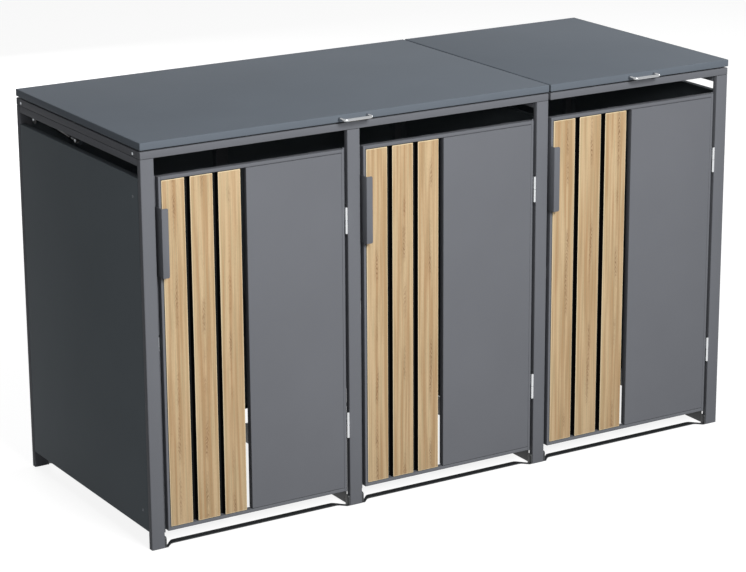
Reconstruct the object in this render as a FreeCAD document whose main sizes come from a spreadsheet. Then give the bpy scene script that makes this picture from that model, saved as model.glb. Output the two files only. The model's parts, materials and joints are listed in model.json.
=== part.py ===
import FreeCAD, Part
import Sketcher
import math
import os
import re

# Store for three wheelie bins. x runs right, y runs back and z runs up, in millimetres.
# The origin is on the ground, at the middle of the footprint with handles and hinges.
# A double unit holds bays 1 and 2. An add-on unit holds bay 3 and shares the double unit's right wall.

SIZES = {
    # Footprint and walls
    "left_face": -1035,
    "front_face": -402.5,
    "full_deep": 832,
    "bay_wide": 627,
    "single_bay_wide": 648,
    "unit_gap": 8,
    "sheet_thick": 1.5,
    "fold_round": 1,
    # Posts
    "post_wide": 42,
    "post_deep": 20,
    "post_high": 1165,
    "post_wall": 2,
    "post_round": 2,
    # Panels
    "tray_deep": 20,
    "panel_low": 51.5,
    "panel_high": 1056.5,
    "slot_high": 34.5,
    # Rails under the lids
    "rail_high": 22,
    # Floor bars and guide rails
    "bar_thick": 3,
    "bar_wide": 24,
    "bar_front": 0,
    "bar_back": 21,
    "bar_tip": 4,
    "bar_hold": 8,
    "bar_turn": 34,
    "tab_front": 1,
    "tab_deep": 19,
    "tab_high": 33,
    "tab_thick": 6,
    "tab_round": 7,
    "guide_front": 25,
    "guide_high": 64,
    "guide_foot": 38,
    "guide_thick": 2,
    # Lids
    "lid_gap": 3,
    "lid_high": 23,
    "lid_side": 1,
    "lid_front": 2,
    "lid_split": 6,
    "lid_flange": 18,
    "lid_round": 2,
    "buffer_radius": 5,
    "buffer_inset": 6,
    "buffer_back": 430,
    "buffer_front": 12,
    # Lid handles
    "bow_wide": 94,
    "bow_reach": 31.5,
    "bow_bend": 9,
    "bow_radius": 4.5,
    "bow_low": 12,
    "double_bow": 688,
    "single_bow": 1728,
    # Lid hinges
    "lid_axis_back": 6,
    "lid_axis_rise": 1,
    "leaf_wide": 80,
    "leaf_thick": 2,
    "leaf_clear": 5.5,
    "leaf_margin": 2,
    "double_hinge_left": 200,
    "double_hinge_middle": 690,
    "double_hinge_right": 1180,
    "single_hinge_left": 1538,
    "single_hinge_right": 1920,
    "knuckle_radius": 5,
    "knuckle_wide": 25,
    "knuckle_gap": 0.4,
    "pin_radius": 2.5,
    "fit_gap": 0.05,
    # Doors
    "door_low": 50,
    "door_high": 1059,
    "door_deep": 20,
    "door_gap": 12,
    "stile_wide": 8,
    "cross_wide": 10,
    "groove": 1.5,
    "hinge_groove": 0.3,
    "slat_wide": 72,
    "slat_gap": 17.5,
    "single_slat_wide": 80,
    "single_slat_gap": 17,
    "slat_round": 2,
    "panel_inset": 279,
    "single_panel_inset": 304,
    "fixing_wide": 40,
    "fixing_high": 30,
    "fixing_thick": 2,
    # Door handles
    "pull_thick": 2,
    "pull_low": 769,
    "pull_high": 203,
    "pull_reach": 22,
    "pull_hold": 16,
    "pull_wide": 18.5,
    "pull_round": 5,
    # Door hinges
    "barrel_radius": 4.5,
    "barrel_high": 40,
    "barrel_gap": 0.4,
    "barrel_front": 0.5,
    "tongue_wide": 4,
    "tongue_deep": 3,
    "door_pin_high": 36,
    "low_hinge": 220,
    "high_hinge": 854,
    # Door catches
    "catch_low": 600,
    "catch_high": 40,
    "catch_tab": 2,
    "catch_wide": 30,
    "catch_deep": 14,
    "catch_gap": 0.8,
    "catch_front": 4,
    # Strips in the gaps beside the doors
    "strip_thick": 1.5,
    "strip_clear": 0.4,
    "strip_reach": 6,
    "strip_break": 2,
    "strip_drop": 10,
    # Strips behind the gaps between the slats
    "back_strip_lap": 6,
    "back_strip_short": 5,
    # Gas struts, measured from the wall's outer face, the posts' front and the ground
    "strut_side": 53,
    "cup_wide": 14,
    "cup_radius": 7.2,
    "stud_radius": 4,
    "wall_stud_back": 765,
    "wall_stud_high": 1127,
    "lid_stud_back": 526,
    "lid_stud_high": 1107,
    "tube_radius": 7.5,
    "tube_bore": 6,
    "tube_start": 12,
    "tube_long": 193,
    "tube_end": 8,
    "neck_radius": 5,
    "rod_radius": 4,
    "rod_long": 205,
    "lug_radius": 14,
    "lug_thick": 3,
    "wall_lug_side": 26,
    "lid_lug_side": 64,
    "lug_foot": 20,
    "lug_foot_long": 60,
    "bolt_head_radius": 4.5,
    "bolt_head_high": 4,
    "stud_gap": 0.5,
    # Screws and link bolts
    "screw_radius": 2,
    "screw_long": 10,
    "screw_head_radius": 4,
    "screw_head_high": 1,
    "screw_clear": 0.3,
    "rail_screw_front": 46.6,
    "rail_screw_back": 799,
    "rail_screw_high": 1174,
    "panel_screw_back": 53,
    "panel_screw_low": 110,
    "panel_screw_high": 1049.5,
    "link_radius": 4,
    "link_head_radius": 6.5,
    "link_head_high": 5,
    "link_spacer_radius": 9,
    "link_front": 120,
    "link_back": 712,
    "link_high": 1176.5,
}

WORD = re.compile(r"\b([a-z]+(?:_[a-z]+)*)\b")
AXES = "xyz"
UP = FreeCAD.Vector(0, 0, 1)

# Places that several sub-parts share, as formulas of the sizes
POST_X = (
    "left_face",
    "left_face + post_wide + bay_wide",
    "left_face + 2 * post_wide + 2 * bay_wide",
    "left_face + 3 * post_wide + 2 * bay_wide + single_bay_wide",
)
REAR_Y = "front_face + full_deep - post_deep"
WALL_Y = "front_face + post_deep"
WALL_LONG = "full_deep - 2 * post_deep"
SLOT_RAIL_Z = "panel_low + panel_high + slot_high"
DOUBLE_WIDE = "3 * post_wide + 2 * bay_wide"
SINGLE_X = f"left_face + {DOUBLE_WIDE} + unit_gap"
SINGLE_WIDE = "post_wide + single_bay_wide - unit_gap"
UNITS = {"double": ("left_face", DOUBLE_WIDE), "single": (SINGLE_X, SINGLE_WIDE)}
LID_Z = "post_high + rail_high + lid_gap"
LID_UNDERSIDE = f"{LID_Z} + lid_high - sheet_thick"
LID_AXIS_Y = "front_face + full_deep + lid_axis_back"
LID_AXIS_Z = f"{LID_Z} - lid_axis_rise"
LID_HINGES = {
    "double": ("double_hinge_left", "double_hinge_middle", "double_hinge_right"),
    "single": ("single_hinge_left", "single_hinge_right"),
}
BOWS = {"double": "double_bow", "single": "single_bow"}
BAY_WIDES = ("bay_wide", "bay_wide", "single_bay_wide")
DOOR_HINGES = ("low_hinge", "high_hinge")
STRUT_DROP = "(wall_stud_high - lid_stud_high)"
STRUT_RUN = "(wall_stud_back - lid_stud_back)"
STRUT_CLOSED = f"sqrt({STRUT_RUN} ^ 2 + {STRUT_DROP} ^ 2)"
STRUT_TILT = f"atan({STRUT_DROP} / {STRUT_RUN})"

# A wall's outer face, and the way from it to the bins: 1 to the right, -1 to the left
WALLS = {
    "left": (POST_X[0], 1),
    "shared": (f"{POST_X[2]} + post_wide", -1),
    "right": (f"{POST_X[3]} + post_wide", -1),
}

doc = FreeCAD.newDocument("bin_store")
sheet = doc.addObject("Spreadsheet::Sheet", "Sizes")
for row, (alias, number) in enumerate(SIZES.items(), 1):
    sheet.set(f"A{row}", alias)
    sheet.set(f"B{row}", str(number))
    sheet.setAlias(f"B{row}", alias)
doc.recompute()

kept = []


def keep(label, item):
    """Give a finished sub-part its label and list it for the hand-in."""
    item.Label = label
    kept.append(item)


def bind(item, prop, text):
    """Bind one property to a formula of the sizes."""
    item.setExpression(prop, WORD.sub(lambda m: f"Sizes.{m[1]}" if m[1] in SIZES else m[1], text))


def move(item, corner):
    """Bind the place of an object."""
    for axis, text in zip(AXES, corner):
        bind(item, f"Placement.Base.{axis}", text)


def measure(item, size):
    """Bind the three sizes of a box."""
    for prop, text in zip(("Length", "Width", "Height"), size):
        bind(item, prop, text)


def block(name, size, corner):
    """Plain block."""
    item = doc.addObject("Part::Box", name)
    measure(item, size)
    move(item, corner)
    return item


def rod(name, radius, length, start, axis):
    """Round bar that runs from its start to the right (x), forwards (-y) or up (z)."""
    turns = {
        "x": FreeCAD.Rotation(FreeCAD.Vector(0, 1, 0), 90),
        "-y": FreeCAD.Rotation(FreeCAD.Vector(1, 0, 0), 90),
        "z": FreeCAD.Rotation(),
    }
    item = doc.addObject("Part::Cylinder", name)
    item.Placement = FreeCAD.Placement(FreeCAD.Vector(), turns[axis])
    bind(item, "Radius", radius)
    bind(item, "Height", length)
    move(item, start)
    return item


def fuse(name, shapes):
    """One solid from several that touch."""
    item = doc.addObject("Part::MultiFuse", name)
    item.Shapes = shapes
    return item


def cut(name, base, tools):
    """A solid less its holes."""
    item = doc.addObject("Part::Cut", name)
    item.Base = base
    item.Tool = tools[0] if len(tools) == 1 else fuse(f"{name}_holes", tools)
    return item


def group(name, shapes):
    """Separate solids that share one sub-part."""
    item = doc.addObject("Part::Compound", name)
    item.Links = shapes
    return item


def new_body(name, corner):
    """Empty body at its own place."""
    body = doc.addObject("PartDesign::Body", name)
    move(body, corner)
    return body


def add_box(body, kind, size, corner=("0", "0", "0")):
    """Additive or Subtractive box in a body."""
    item = body.newObject(f"PartDesign::{kind}Box", f"{body.Name}_{kind}")
    measure(item, size)
    move(item, corner)
    body.Tip = item


def outer_edges(shape, places):
    """Names of a box's own edges at places such as +z, round the top, or -y+z, where front meets top."""
    box = shape.BoundBox
    planes = {sign + axis: getattr(box, axis.upper() + end)
              for sign, end in (("-", "Min"), ("+", "Max")) for axis in AXES}
    names = []
    for index, edge in enumerate(shape.Edges, 1):
        sides = [side for side, plane in planes.items()
                 if all(math.isclose(getattr(vertex.Point, side[1]), plane, abs_tol=0.001)
                        for vertex in edge.Vertexes)]
        if len(sides) == 2 and any(set(re.findall("..", place)) <= set(sides) for place in places):
            names.append(f"Edge{index}")
    return names


def round_edges(body, radius, places):
    """Round a body's outer edges at the given places."""
    doc.recompute()
    base = body.Tip
    item = body.newObject("PartDesign::Fillet", f"{body.Name}_round")
    item.Base = (base, outer_edges(base.Shape, places))
    bind(item, "Radius", radius)
    body.Tip = item


def folded(name, size, corner, open_side, rounded):
    """Folded tray: sheet on five sides, and open at one side such as +y."""
    body = new_body(name, corner)
    add_box(body, "Additive", size)
    inner_size = [f"{text} - 2 * sheet_thick" for text in size]
    inner_corner = ["sheet_thick"] * 3
    axis = AXES.index(open_side[1])
    inner_size[axis] = size[axis]
    if open_side[0] == "-":
        inner_corner[axis] = "-sheet_thick"
    add_box(body, "Subtractive", inner_size, inner_corner)
    round_edges(body, "fold_round", rounded)
    return body


def from_wall(wall, start, wide):
    """Low end along x of a piece that starts a distance inside a wall's outer face."""
    face, hand = WALLS[wall]
    return f"{face} + {start}" if hand > 0 else f"{face} - ({start}) - ({wide})"


def plane_sketch(body, name, role):
    """Empty sketch on one of a body's own origin planes."""
    sketch = body.newObject("Sketcher::SketchObject", name)
    plane = next(item for item in body.Origin.OriginFeatures if item.Role == role)
    sketch.AttachmentSupport = [(plane, "")]
    sketch.MapMode = "FlatFace"
    return sketch


def dimension(sketch, text, *what, drawn=1.0):
    """Add a dimension to a sketch as it is drawn, and bind it to a formula."""
    mark = sketch.addConstraint(Sketcher.Constraint(*what, drawn))
    bind(sketch, f"Constraints[{mark}]", text)


def outline(body, name, points):
    """Closed sketch of straight lines on the ground plane, with two formulas for each corner."""
    sketch = plane_sketch(body, name, "XY_Plane")
    count = len(points)
    rough = [FreeCAD.Vector(n, n * n, 0) for n in range(count)]
    for n in range(count):
        sketch.addGeometry(Part.LineSegment(rough[n], rough[(n + 1) % count]), False)
    for n in range(count):
        sketch.addConstraint(Sketcher.Constraint("Coincident", n, 2, (n + 1) % count, 1))
    for n, (across, along) in enumerate(points):
        dimension(sketch, across, "DistanceX", n, 1)
        dimension(sketch, along, "DistanceY", n, 1)
    return sketch


def make_post(name, left, front):
    """Post: a rectangular tube that stands on its lower end."""
    body = new_body(name, (left, front, "0"))
    add_box(body, "Additive", ("post_wide", "post_deep", "post_high"))
    round_edges(body, "post_round", ("-x-y", "+x-y", "-x+y", "+x+y"))
    inner = ("post_wide - 2 * post_wall", "post_deep - 2 * post_wall", "post_high")
    add_box(body, "Subtractive", inner, ("post_wall", "post_wall", "0"))
    return body


def make_posts():
    """Four front posts, and the rear posts as one group."""
    for name, left in zip(("left", "middle", "shared", "right"), POST_X):
        keep(f"front_post_{name}", make_post(f"front_post_{name}", left, "front_face"))
    rear = [make_post(f"rear_post_{n}", left, REAR_Y) for n, left in enumerate(POST_X)]
    keep("rear_posts", group("rear_posts", rear))


def screw_places(wall):
    """Where screws go through an outer wall's panel and side rail: back and up."""
    panel = [("panel_screw_back", "panel_screw_low"), ("panel_screw_back", "panel_screw_high")]
    rail = [("rail_screw_front", "rail_screw_high"), ("rail_screw_back", "rail_screw_high")]
    return {"panel": panel, "rail": rail} if wall != "shared" else {"panel": [], "rail": []}


def drilled(name, body, wall, places):
    """A folded piece less its screw holes."""
    if not places:
        return body
    long = "4 * sheet_thick"
    left = from_wall(wall, "-2 * sheet_thick", long)
    holes = [rod(f"{name}_hole_{n}", "screw_radius + screw_clear", long,
                 (left, f"front_face + {back}", high), "x") for n, (back, high) in enumerate(places)]
    return cut(f"{name}_drilled", body, holes)


def make_walls():
    """Side panels and, above their ventilation slots, the slot rails."""
    for wall, (_, hand) in WALLS.items():
        outer = "-x" if hand > 0 else "+x"
        inner = "+x" if hand > 0 else "-x"
        name = f"side_panel_{wall}"
        left = from_wall(wall, "0", "tray_deep")
        size = ("tray_deep", WALL_LONG, "panel_high")
        panel = folded(f"{name}_sheet", size, (left, WALL_Y, "panel_low"), inner, (outer,))
        keep(name, drilled(name, panel, wall, screw_places(wall)["panel"]))
        name = f"slot_rail_{wall}"
        size = ("post_wide", WALL_LONG, f"post_high - ({SLOT_RAIL_Z})")
        left = from_wall(wall, "0", "post_wide")
        keep(name, folded(name, size, (left, WALL_Y, SLOT_RAIL_Z), "+z", ("-x-z", "+x-z")))


def make_back_panels():
    """Back panels: trays between the rear posts, with their outer face flush with them."""
    for name, left, wide in zip(("left", "middle", "right"), POST_X, BAY_WIDES):
        label = f"back_panel_{name}"
        size = (wide, "tray_deep", "post_high - panel_low")
        corner = (f"{left} + post_wide", "front_face + full_deep - tray_deep", "panel_low")
        keep(label, folded(label, size, corner, "-y", ("+y",)))


def make_top_rails():
    """Front, rear and side rails of the two units' top frames."""
    for unit, (left, wide) in UNITS.items():
        size = (wide, "post_deep", "rail_high")
        corner = (left, "front_face", "post_high")
        front = folded(f"front_rail_{unit}", size, corner, "-z", ("-y+z", "-x-y", "+x-y"))
        rear = folded(f"rear_rail_{unit}", size, (left, REAR_Y, "post_high"), "-z", ("+y+z",))
        keep(f"front_rail_{unit}", front)
        keep(f"rear_rail_{unit}", rear)
    lefts = {
        "left": POST_X[0],
        "double_right": POST_X[2],
        "single_left": SINGLE_X,
        "right": POST_X[3],
    }
    for name, left in lefts.items():
        label = f"side_rail_{name}"
        size = ("post_wide", WALL_LONG, "rail_high")
        rail = folded(f"{label}_sheet", size, (left, WALL_Y, "post_high"), "-z", ("-x+z", "+x+z"))
        if name in WALLS:
            keep(label, drilled(label, rail, name, screw_places(name)["rail"]))
        else:
            keep(label, cut(f"{label}_drilled", rail, link_holes(label)))


def link_holes(name):
    """Holes for the two bolts that link the units."""
    left = f"{SINGLE_X} - unit_gap - 2 * sheet_thick"
    return [rod(f"{name}_link_{n}", "link_radius + screw_clear", "unit_gap + 4 * sheet_thick",
                (left, f"front_face + {back}", "link_high"), "x")
            for n, back in enumerate(("link_front", "link_back"))]


def make_floor_bar(name, left, wide, rear):
    """Flat bar on the ground across a bay, bent forward to a narrow tip at a tab on either post."""
    sign = "-" if rear else ""
    start = "front_face + full_deep" if rear else "front_face"
    half = [
        ("tab_thick + bar_turn", "bar_back + bar_wide"),
        ("tab_thick", "bar_front + bar_hold"),
        ("tab_thick", "bar_front"),
        ("tab_thick + bar_tip", "bar_front"),
        ("tab_thick + bar_tip + bar_back - bar_front", "bar_back"),
    ]
    mirrored = [(f"{wide} - ({across})", along) for across, along in half[::-1]]
    body = new_body(name, (left, start, "0"))
    pad = body.newObject("PartDesign::Pad", f"{name}_pad")
    corners = [(across, f"{sign}({along})") for across, along in half + mirrored]
    pad.Profile = outline(body, f"{name}_plan", corners)
    bind(pad, "Length", "bar_thick")
    body.Tip = pad
    tab_y = f"{start} - tab_front - tab_deep" if rear else f"{start} + tab_front"
    tabs = []
    for end, tab_x in (("left", left), ("right", f"{left} + {wide} - tab_thick")):
        tab = new_body(f"{name}_tab_{end}", (tab_x, tab_y, "0"))
        add_box(tab, "Additive", ("tab_thick", "tab_deep", "tab_high"))
        round_edges(tab, "tab_round", ("-y+z", "+y+z"))
        tabs.append(tab)
    return [body] + tabs


def make_floor_bars():
    """Front and rear floor bars of the three bays."""
    pieces = []
    for bay, (left, wide) in enumerate(zip(POST_X, BAY_WIDES), 1):
        for rear in (False, True):
            name = f"floor_bar_{bay}_{'rear' if rear else 'front'}"
            pieces += make_floor_bar(name, f"{left} + post_wide", wide, rear)
    keep("floor_bars", group("floor_bars", pieces))


def make_guide_rails():
    """Folded guide on the ground at the hinge side of each bay."""
    pieces = []
    long = "full_deep - 2 * guide_front"
    for bay, left in enumerate(POST_X[1:], 1):
        corner = (left, "front_face + guide_front", "0")
        angle = block(f"guide_{bay}_stock", ("guide_foot", long, "guide_high"), corner)
        waste = block(f"guide_{bay}_waste", ("guide_foot", long, "guide_high"),
                      (f"{left} + guide_thick", corner[1], "guide_thick"))
        pieces.append(cut(f"guide_{bay}", angle, [waste]))
    keep("guide_rails", group("guide_rails", pieces))


def make_lid_buffers():
    """Rubber pads between the rails and the lids' lower flanges."""
    top = "post_high + rail_high"
    places = []
    for left, wide in UNITS.values():
        places.append((f"{left} + buffer_inset", "front_face + buffer_back"))
        places.append((f"{left} + {wide} - buffer_inset", "front_face + buffer_back"))
        places.append((f"{left} + ({wide}) / 4", "front_face + buffer_front"))
        places.append((f"{left} + 3 * ({wide}) / 4", "front_face + buffer_front"))
    pads = [rod(f"buffer_{n}", "buffer_radius", "lid_gap", place + (top,), "z")
            for n, place in enumerate(places)]
    keep("lid_buffers", group("lid_buffers", pads))


def make_screw(name, wall, back, high):
    """Screw through an outer wall, head outside."""
    face_y = f"front_face + {back}"
    shank_x = from_wall(wall, "0", "screw_long")
    shank = rod(f"{name}_shank", "screw_radius", "screw_long", (shank_x, face_y, high), "x")
    head_x = from_wall(wall, "-screw_head_high", "screw_head_high")
    head = rod(f"{name}_head", "screw_head_radius", "screw_head_high", (head_x, face_y, high), "x")
    return fuse(name, [shank, head])


def make_link_bolt(name, back):
    """Bolt with head and nut, and the spacer it draws tight between the two units."""
    middle = (f"front_face + {back}", "link_high")
    head_x = f"{SINGLE_X} - unit_gap - sheet_thick - link_head_high"
    nut_x = f"{SINGLE_X} + sheet_thick"
    long = "unit_gap + 2 * sheet_thick + 2 * link_head_high + sheet_thick"
    shank = rod(f"{name}_shank", "link_radius", long, (head_x,) + middle, "x")
    head = rod(f"{name}_head", "link_head_radius", "link_head_high", (head_x,) + middle, "x")
    nut = rod(f"{name}_nut", "link_head_radius", "link_head_high", (nut_x,) + middle, "x")
    spacer_x = f"{SINGLE_X} - unit_gap"
    ring = rod(f"{name}_ring", "link_spacer_radius", "unit_gap", (spacer_x,) + middle, "x")
    bore = rod(f"{name}_bore", "link_radius + screw_clear", "unit_gap", (spacer_x,) + middle, "x")
    return [fuse(name, [shank, head, nut]), cut(f"{name}_spacer", ring, [bore])]


def make_fasteners():
    """Screws of the outer walls, and the bolts that link the units."""
    pieces = []
    for wall in WALLS:
        for kind, places in screw_places(wall).items():
            for n, (back, high) in enumerate(places):
                pieces.append(make_screw(f"screw_{wall}_{kind}_{n}", wall, back, high))
    for name, back in (("link_front_bolt", "link_front"), ("link_back_bolt", "link_back")):
        pieces += make_link_bolt(name, back)
    keep("frame_fasteners", group("frame_fasteners", pieces))


def make_wall_bracket(wall):
    """Lug with a stud, hung from a slot rail, that carries the lower end of a gas strut."""
    name = f"wall_bracket_{wall}"
    stud_y = "front_face + wall_stud_back"
    low_y = f"{stud_y} - lug_radius"
    lug_x = from_wall(wall, "wall_lug_side", "lug_thick")
    foot_wide = "post_wide - wall_lug_side - lug_thick"
    foot_x = from_wall(wall, "wall_lug_side + lug_thick", foot_wide)
    stud_long = "strut_side + cup_wide / 2 - stud_gap - wall_lug_side - lug_thick"
    stud_x = from_wall(wall, "wall_lug_side + lug_thick", stud_long)
    head_x = from_wall(wall, "wall_lug_side - bolt_head_high", "bolt_head_high")
    lug_high = f"{SLOT_RAIL_Z} - wall_stud_high"
    return fuse(name, [
        block(f"{name}_plate", ("lug_thick", "2 * lug_radius", lug_high), (lug_x, low_y, "wall_stud_high")),
        block(f"{name}_foot", (foot_wide, "2 * lug_radius", "lug_thick"),
              (foot_x, low_y, f"{SLOT_RAIL_Z} - lug_thick")),
        rod(f"{name}_round", "lug_radius", "lug_thick", (lug_x, stud_y, "wall_stud_high"), "x"),
        rod(f"{name}_stud", "stud_radius", stud_long, (stud_x, stud_y, "wall_stud_high"), "x"),
        rod(f"{name}_head", "bolt_head_radius", "bolt_head_high", (head_x, stud_y, "wall_stud_high"), "x"),
    ])


def make_lid_bracket(wall):
    """Lug with a short stud, under a lid, that faces the upper end of a gas strut."""
    name = f"lid_bracket_{wall}"
    stud_y = "front_face + lid_stud_back"
    lug_x = from_wall(wall, "lid_lug_side", "lug_thick")
    foot_x = from_wall(wall, "lid_lug_side + lug_thick", "lug_foot")
    stud_long = "lid_lug_side - strut_side - cup_wide / 2 - stud_gap"
    stud_x = from_wall(wall, "strut_side + cup_wide / 2 + stud_gap", stud_long)
    lug_high = f"{LID_UNDERSIDE} - lid_stud_high"
    return fuse(name, [
        block(f"{name}_plate", ("lug_thick", "2 * lug_radius", lug_high),
              (lug_x, f"{stud_y} - lug_radius", "lid_stud_high")),
        block(f"{name}_foot", ("lug_foot", "lug_foot_long", "lug_thick"),
              (foot_x, f"{stud_y} - lug_foot_long / 2", f"{LID_UNDERSIDE} - lug_thick")),
        rod(f"{name}_round", "lug_radius", "lug_thick", (lug_x, stud_y, "lid_stud_high"), "x"),
        rod(f"{name}_stud", "stud_radius", stud_long, (stud_x, stud_y, "lid_stud_high"), "x"),
    ])


def aim_strut(item, wall):
    """Put a strut's piece at its wall stud, tilted towards its stud on the lid."""
    item.Placement = FreeCAD.Placement(FreeCAD.Vector(), FreeCAD.Rotation(FreeCAD.Vector(1, 0, 0), 1))
    middle = from_wall(wall, "strut_side", "0")
    move(item, (middle, "front_face + wall_stud_back", "wall_stud_high"))
    bind(item, "Placement.Rotation.Angle", STRUT_TILT)


def make_strut(wall):
    """Gas strut: a tube on the wall stud, and the rod that slides out of it, drawn along -y."""
    name = f"strut_{wall}"
    cup_x = "-cup_wide / 2"
    body = fuse(f"{name}_tube_stock", [
        rod(f"{name}_wall_cup", "cup_radius", "cup_wide", (cup_x, "0", "0"), "x"),
        rod(f"{name}_neck", "neck_radius", "tube_start", ("0", "0", "0"), "-y"),
        rod(f"{name}_case", "tube_radius", "tube_long", ("0", "-tube_start", "0"), "-y"),
    ])
    bore_start = ("0", "-tube_start - tube_end", "0")
    tube = cut(f"{name}_tube", body, [
        rod(f"{name}_eye", "stud_radius + fit_gap", "cup_wide", (cup_x, "0", "0"), "x"),
        rod(f"{name}_bore", "tube_bore", "tube_long - 2 * tube_end", bore_start, "-y"),
        rod(f"{name}_guide", "rod_radius + fit_gap", "tube_long - tube_end", bore_start, "-y"),
    ])
    rod_start = f"rod_long - {STRUT_CLOSED}"
    stem = fuse(f"{name}_rod", [
        rod(f"{name}_stem", "rod_radius", "rod_long", ("0", rod_start, "0"), "-y"),
        rod(f"{name}_lid_cup", "cup_radius", "cup_wide", (cup_x, f"-{STRUT_CLOSED}", "0"), "x"),
    ])
    for label, item in ((f"{name}_tube", tube), (f"{name}_rod", stem)):
        aim_strut(item, wall)
        keep(label, item)


def make_lid_tray(unit, left, wide):
    """Lid: sheet with folded rims and a flange turned in along their lower edge."""
    body = new_body(f"lid_{unit}_tray", (left, "front_face - lid_front", LID_Z))
    long = "full_deep + lid_front"
    add_box(body, "Additive", (wide, long, "lid_high"))
    round_edges(body, "lid_round", ("+z", "-x-y", "+x-y", "-x+y", "+x+y"))
    inner = (f"{wide} - 2 * sheet_thick", f"{long} - 2 * sheet_thick", "lid_high - 2 * sheet_thick")
    add_box(body, "Subtractive", inner, ("sheet_thick",) * 3)
    mouth = (f"{wide} - 2 * lid_flange", f"{long} - 2 * lid_flange", "sheet_thick")
    add_box(body, "Subtractive", mouth, ("lid_flange", "lid_flange", "0"))
    return body


def make_bow(name, middle):
    """Bow handle: a round bar with two bends, its legs on the lid's front rim."""
    corner = (f"left_face + {middle}", "front_face - lid_front", f"{LID_Z} + bow_low")
    body = new_body(name, corner)
    path = plane_sketch(body, f"{name}_path", "XY_Plane")
    half = SIZES["bow_wide"] / 2
    bend = SIZES["bow_bend"]
    reach = SIZES["bow_reach"]
    left_bend = Part.Circle(FreeCAD.Vector(bend - half, bend - reach, 0), UP, bend)
    right_bend = Part.Circle(FreeCAD.Vector(half - bend, bend - reach, 0), UP, bend)
    pieces = (
        Part.LineSegment(FreeCAD.Vector(-half, 0, 0), FreeCAD.Vector(-half, bend - reach, 0)),
        Part.ArcOfCircle(left_bend, math.pi, 1.5 * math.pi),
        Part.LineSegment(FreeCAD.Vector(bend - half, -reach, 0), FreeCAD.Vector(half - bend, -reach, 0)),
        Part.ArcOfCircle(right_bend, 1.5 * math.pi, 2 * math.pi),
        Part.LineSegment(FreeCAD.Vector(half, bend - reach, 0), FreeCAD.Vector(half, 0, 0)),
    )
    for piece in pieces:
        path.addGeometry(piece, False)
    for n in range(4):
        path.addConstraint(Sketcher.Constraint("Tangent", n, 2, n + 1, 1))
    for kind, n in (("Vertical", 0), ("Horizontal", 2), ("Vertical", 4)):
        path.addConstraint(Sketcher.Constraint(kind, n))
    path.addConstraint(Sketcher.Constraint("Equal", 1, 3))
    path.addConstraint(Sketcher.Constraint("PointOnObject", 0, 1, -1))
    path.addConstraint(Sketcher.Constraint("PointOnObject", 4, 2, -1))
    dimension(path, "bow_bend", "Radius", 1, drawn=bend)
    dimension(path, "-bow_wide / 2", "DistanceX", 0, 1, drawn=-half)
    dimension(path, "bow_wide / 2", "DistanceX", 4, 2, drawn=half)
    dimension(path, "-bow_reach", "DistanceY", 2, 1, drawn=-reach)
    section = plane_sketch(body, f"{name}_section", "XZ_Plane")
    section.addGeometry(Part.Circle(FreeCAD.Vector(-half, 0, 0), UP, 1), False)
    dimension(section, "bow_radius", "Radius", 0)
    dimension(section, "-bow_wide / 2", "DistanceX", 0, 3, drawn=-half)
    section.addConstraint(Sketcher.Constraint("PointOnObject", 0, 3, -1))
    pipe = body.newObject("PartDesign::AdditivePipe", f"{name}_pipe")
    pipe.Profile = section
    pipe.Spine = (path, [])
    body.Tip = pipe
    return body


def make_leaf(name, middle, lid_side):
    """Leaf of a lid hinge. The frame's leaf has two knuckles and the lid's leaf has one between them."""
    leaf_y = "front_face + full_deep"
    left = f"left_face + {middle} - leaf_wide / 2"
    if lid_side:
        leaf_z = f"{LID_AXIS_Z} + leaf_clear"
        leaf_high = "lid_high - lid_round - leaf_margin - (leaf_clear - lid_axis_rise)"
        tab_z = LID_AXIS_Z
        inner_wide = "leaf_wide - 2 * (knuckle_wide + knuckle_gap)"
        knuckles = [("middle", f"{left} + knuckle_wide + knuckle_gap", inner_wide)]
    else:
        leaf_z = "post_high + fold_round"
        leaf_high = f"{LID_AXIS_Z} - leaf_clear - ({leaf_z})"
        tab_z = f"{LID_AXIS_Z} - leaf_clear"
        right = f"{left} + leaf_wide - knuckle_wide"
        knuckles = [("left", left, "knuckle_wide"), ("right", right, "knuckle_wide")]
    shapes = [block(f"{name}_plate", ("leaf_wide", "leaf_thick", leaf_high), (left, leaf_y, leaf_z))]
    for side, start, wide in knuckles:
        axis = (start, LID_AXIS_Y, LID_AXIS_Z)
        shapes.append(block(f"{name}_{side}_tab", (wide, "leaf_thick", "leaf_clear"), (start, leaf_y, tab_z)))
        shapes.append(rod(f"{name}_{side}_knuckle", "knuckle_radius", wide, axis, "x"))
    bore = rod(f"{name}_bore", "pin_radius + fit_gap", "leaf_wide", (left, LID_AXIS_Y, LID_AXIS_Z), "x")
    return cut(name, fuse(f"{name}_stock", shapes), [bore])


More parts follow.
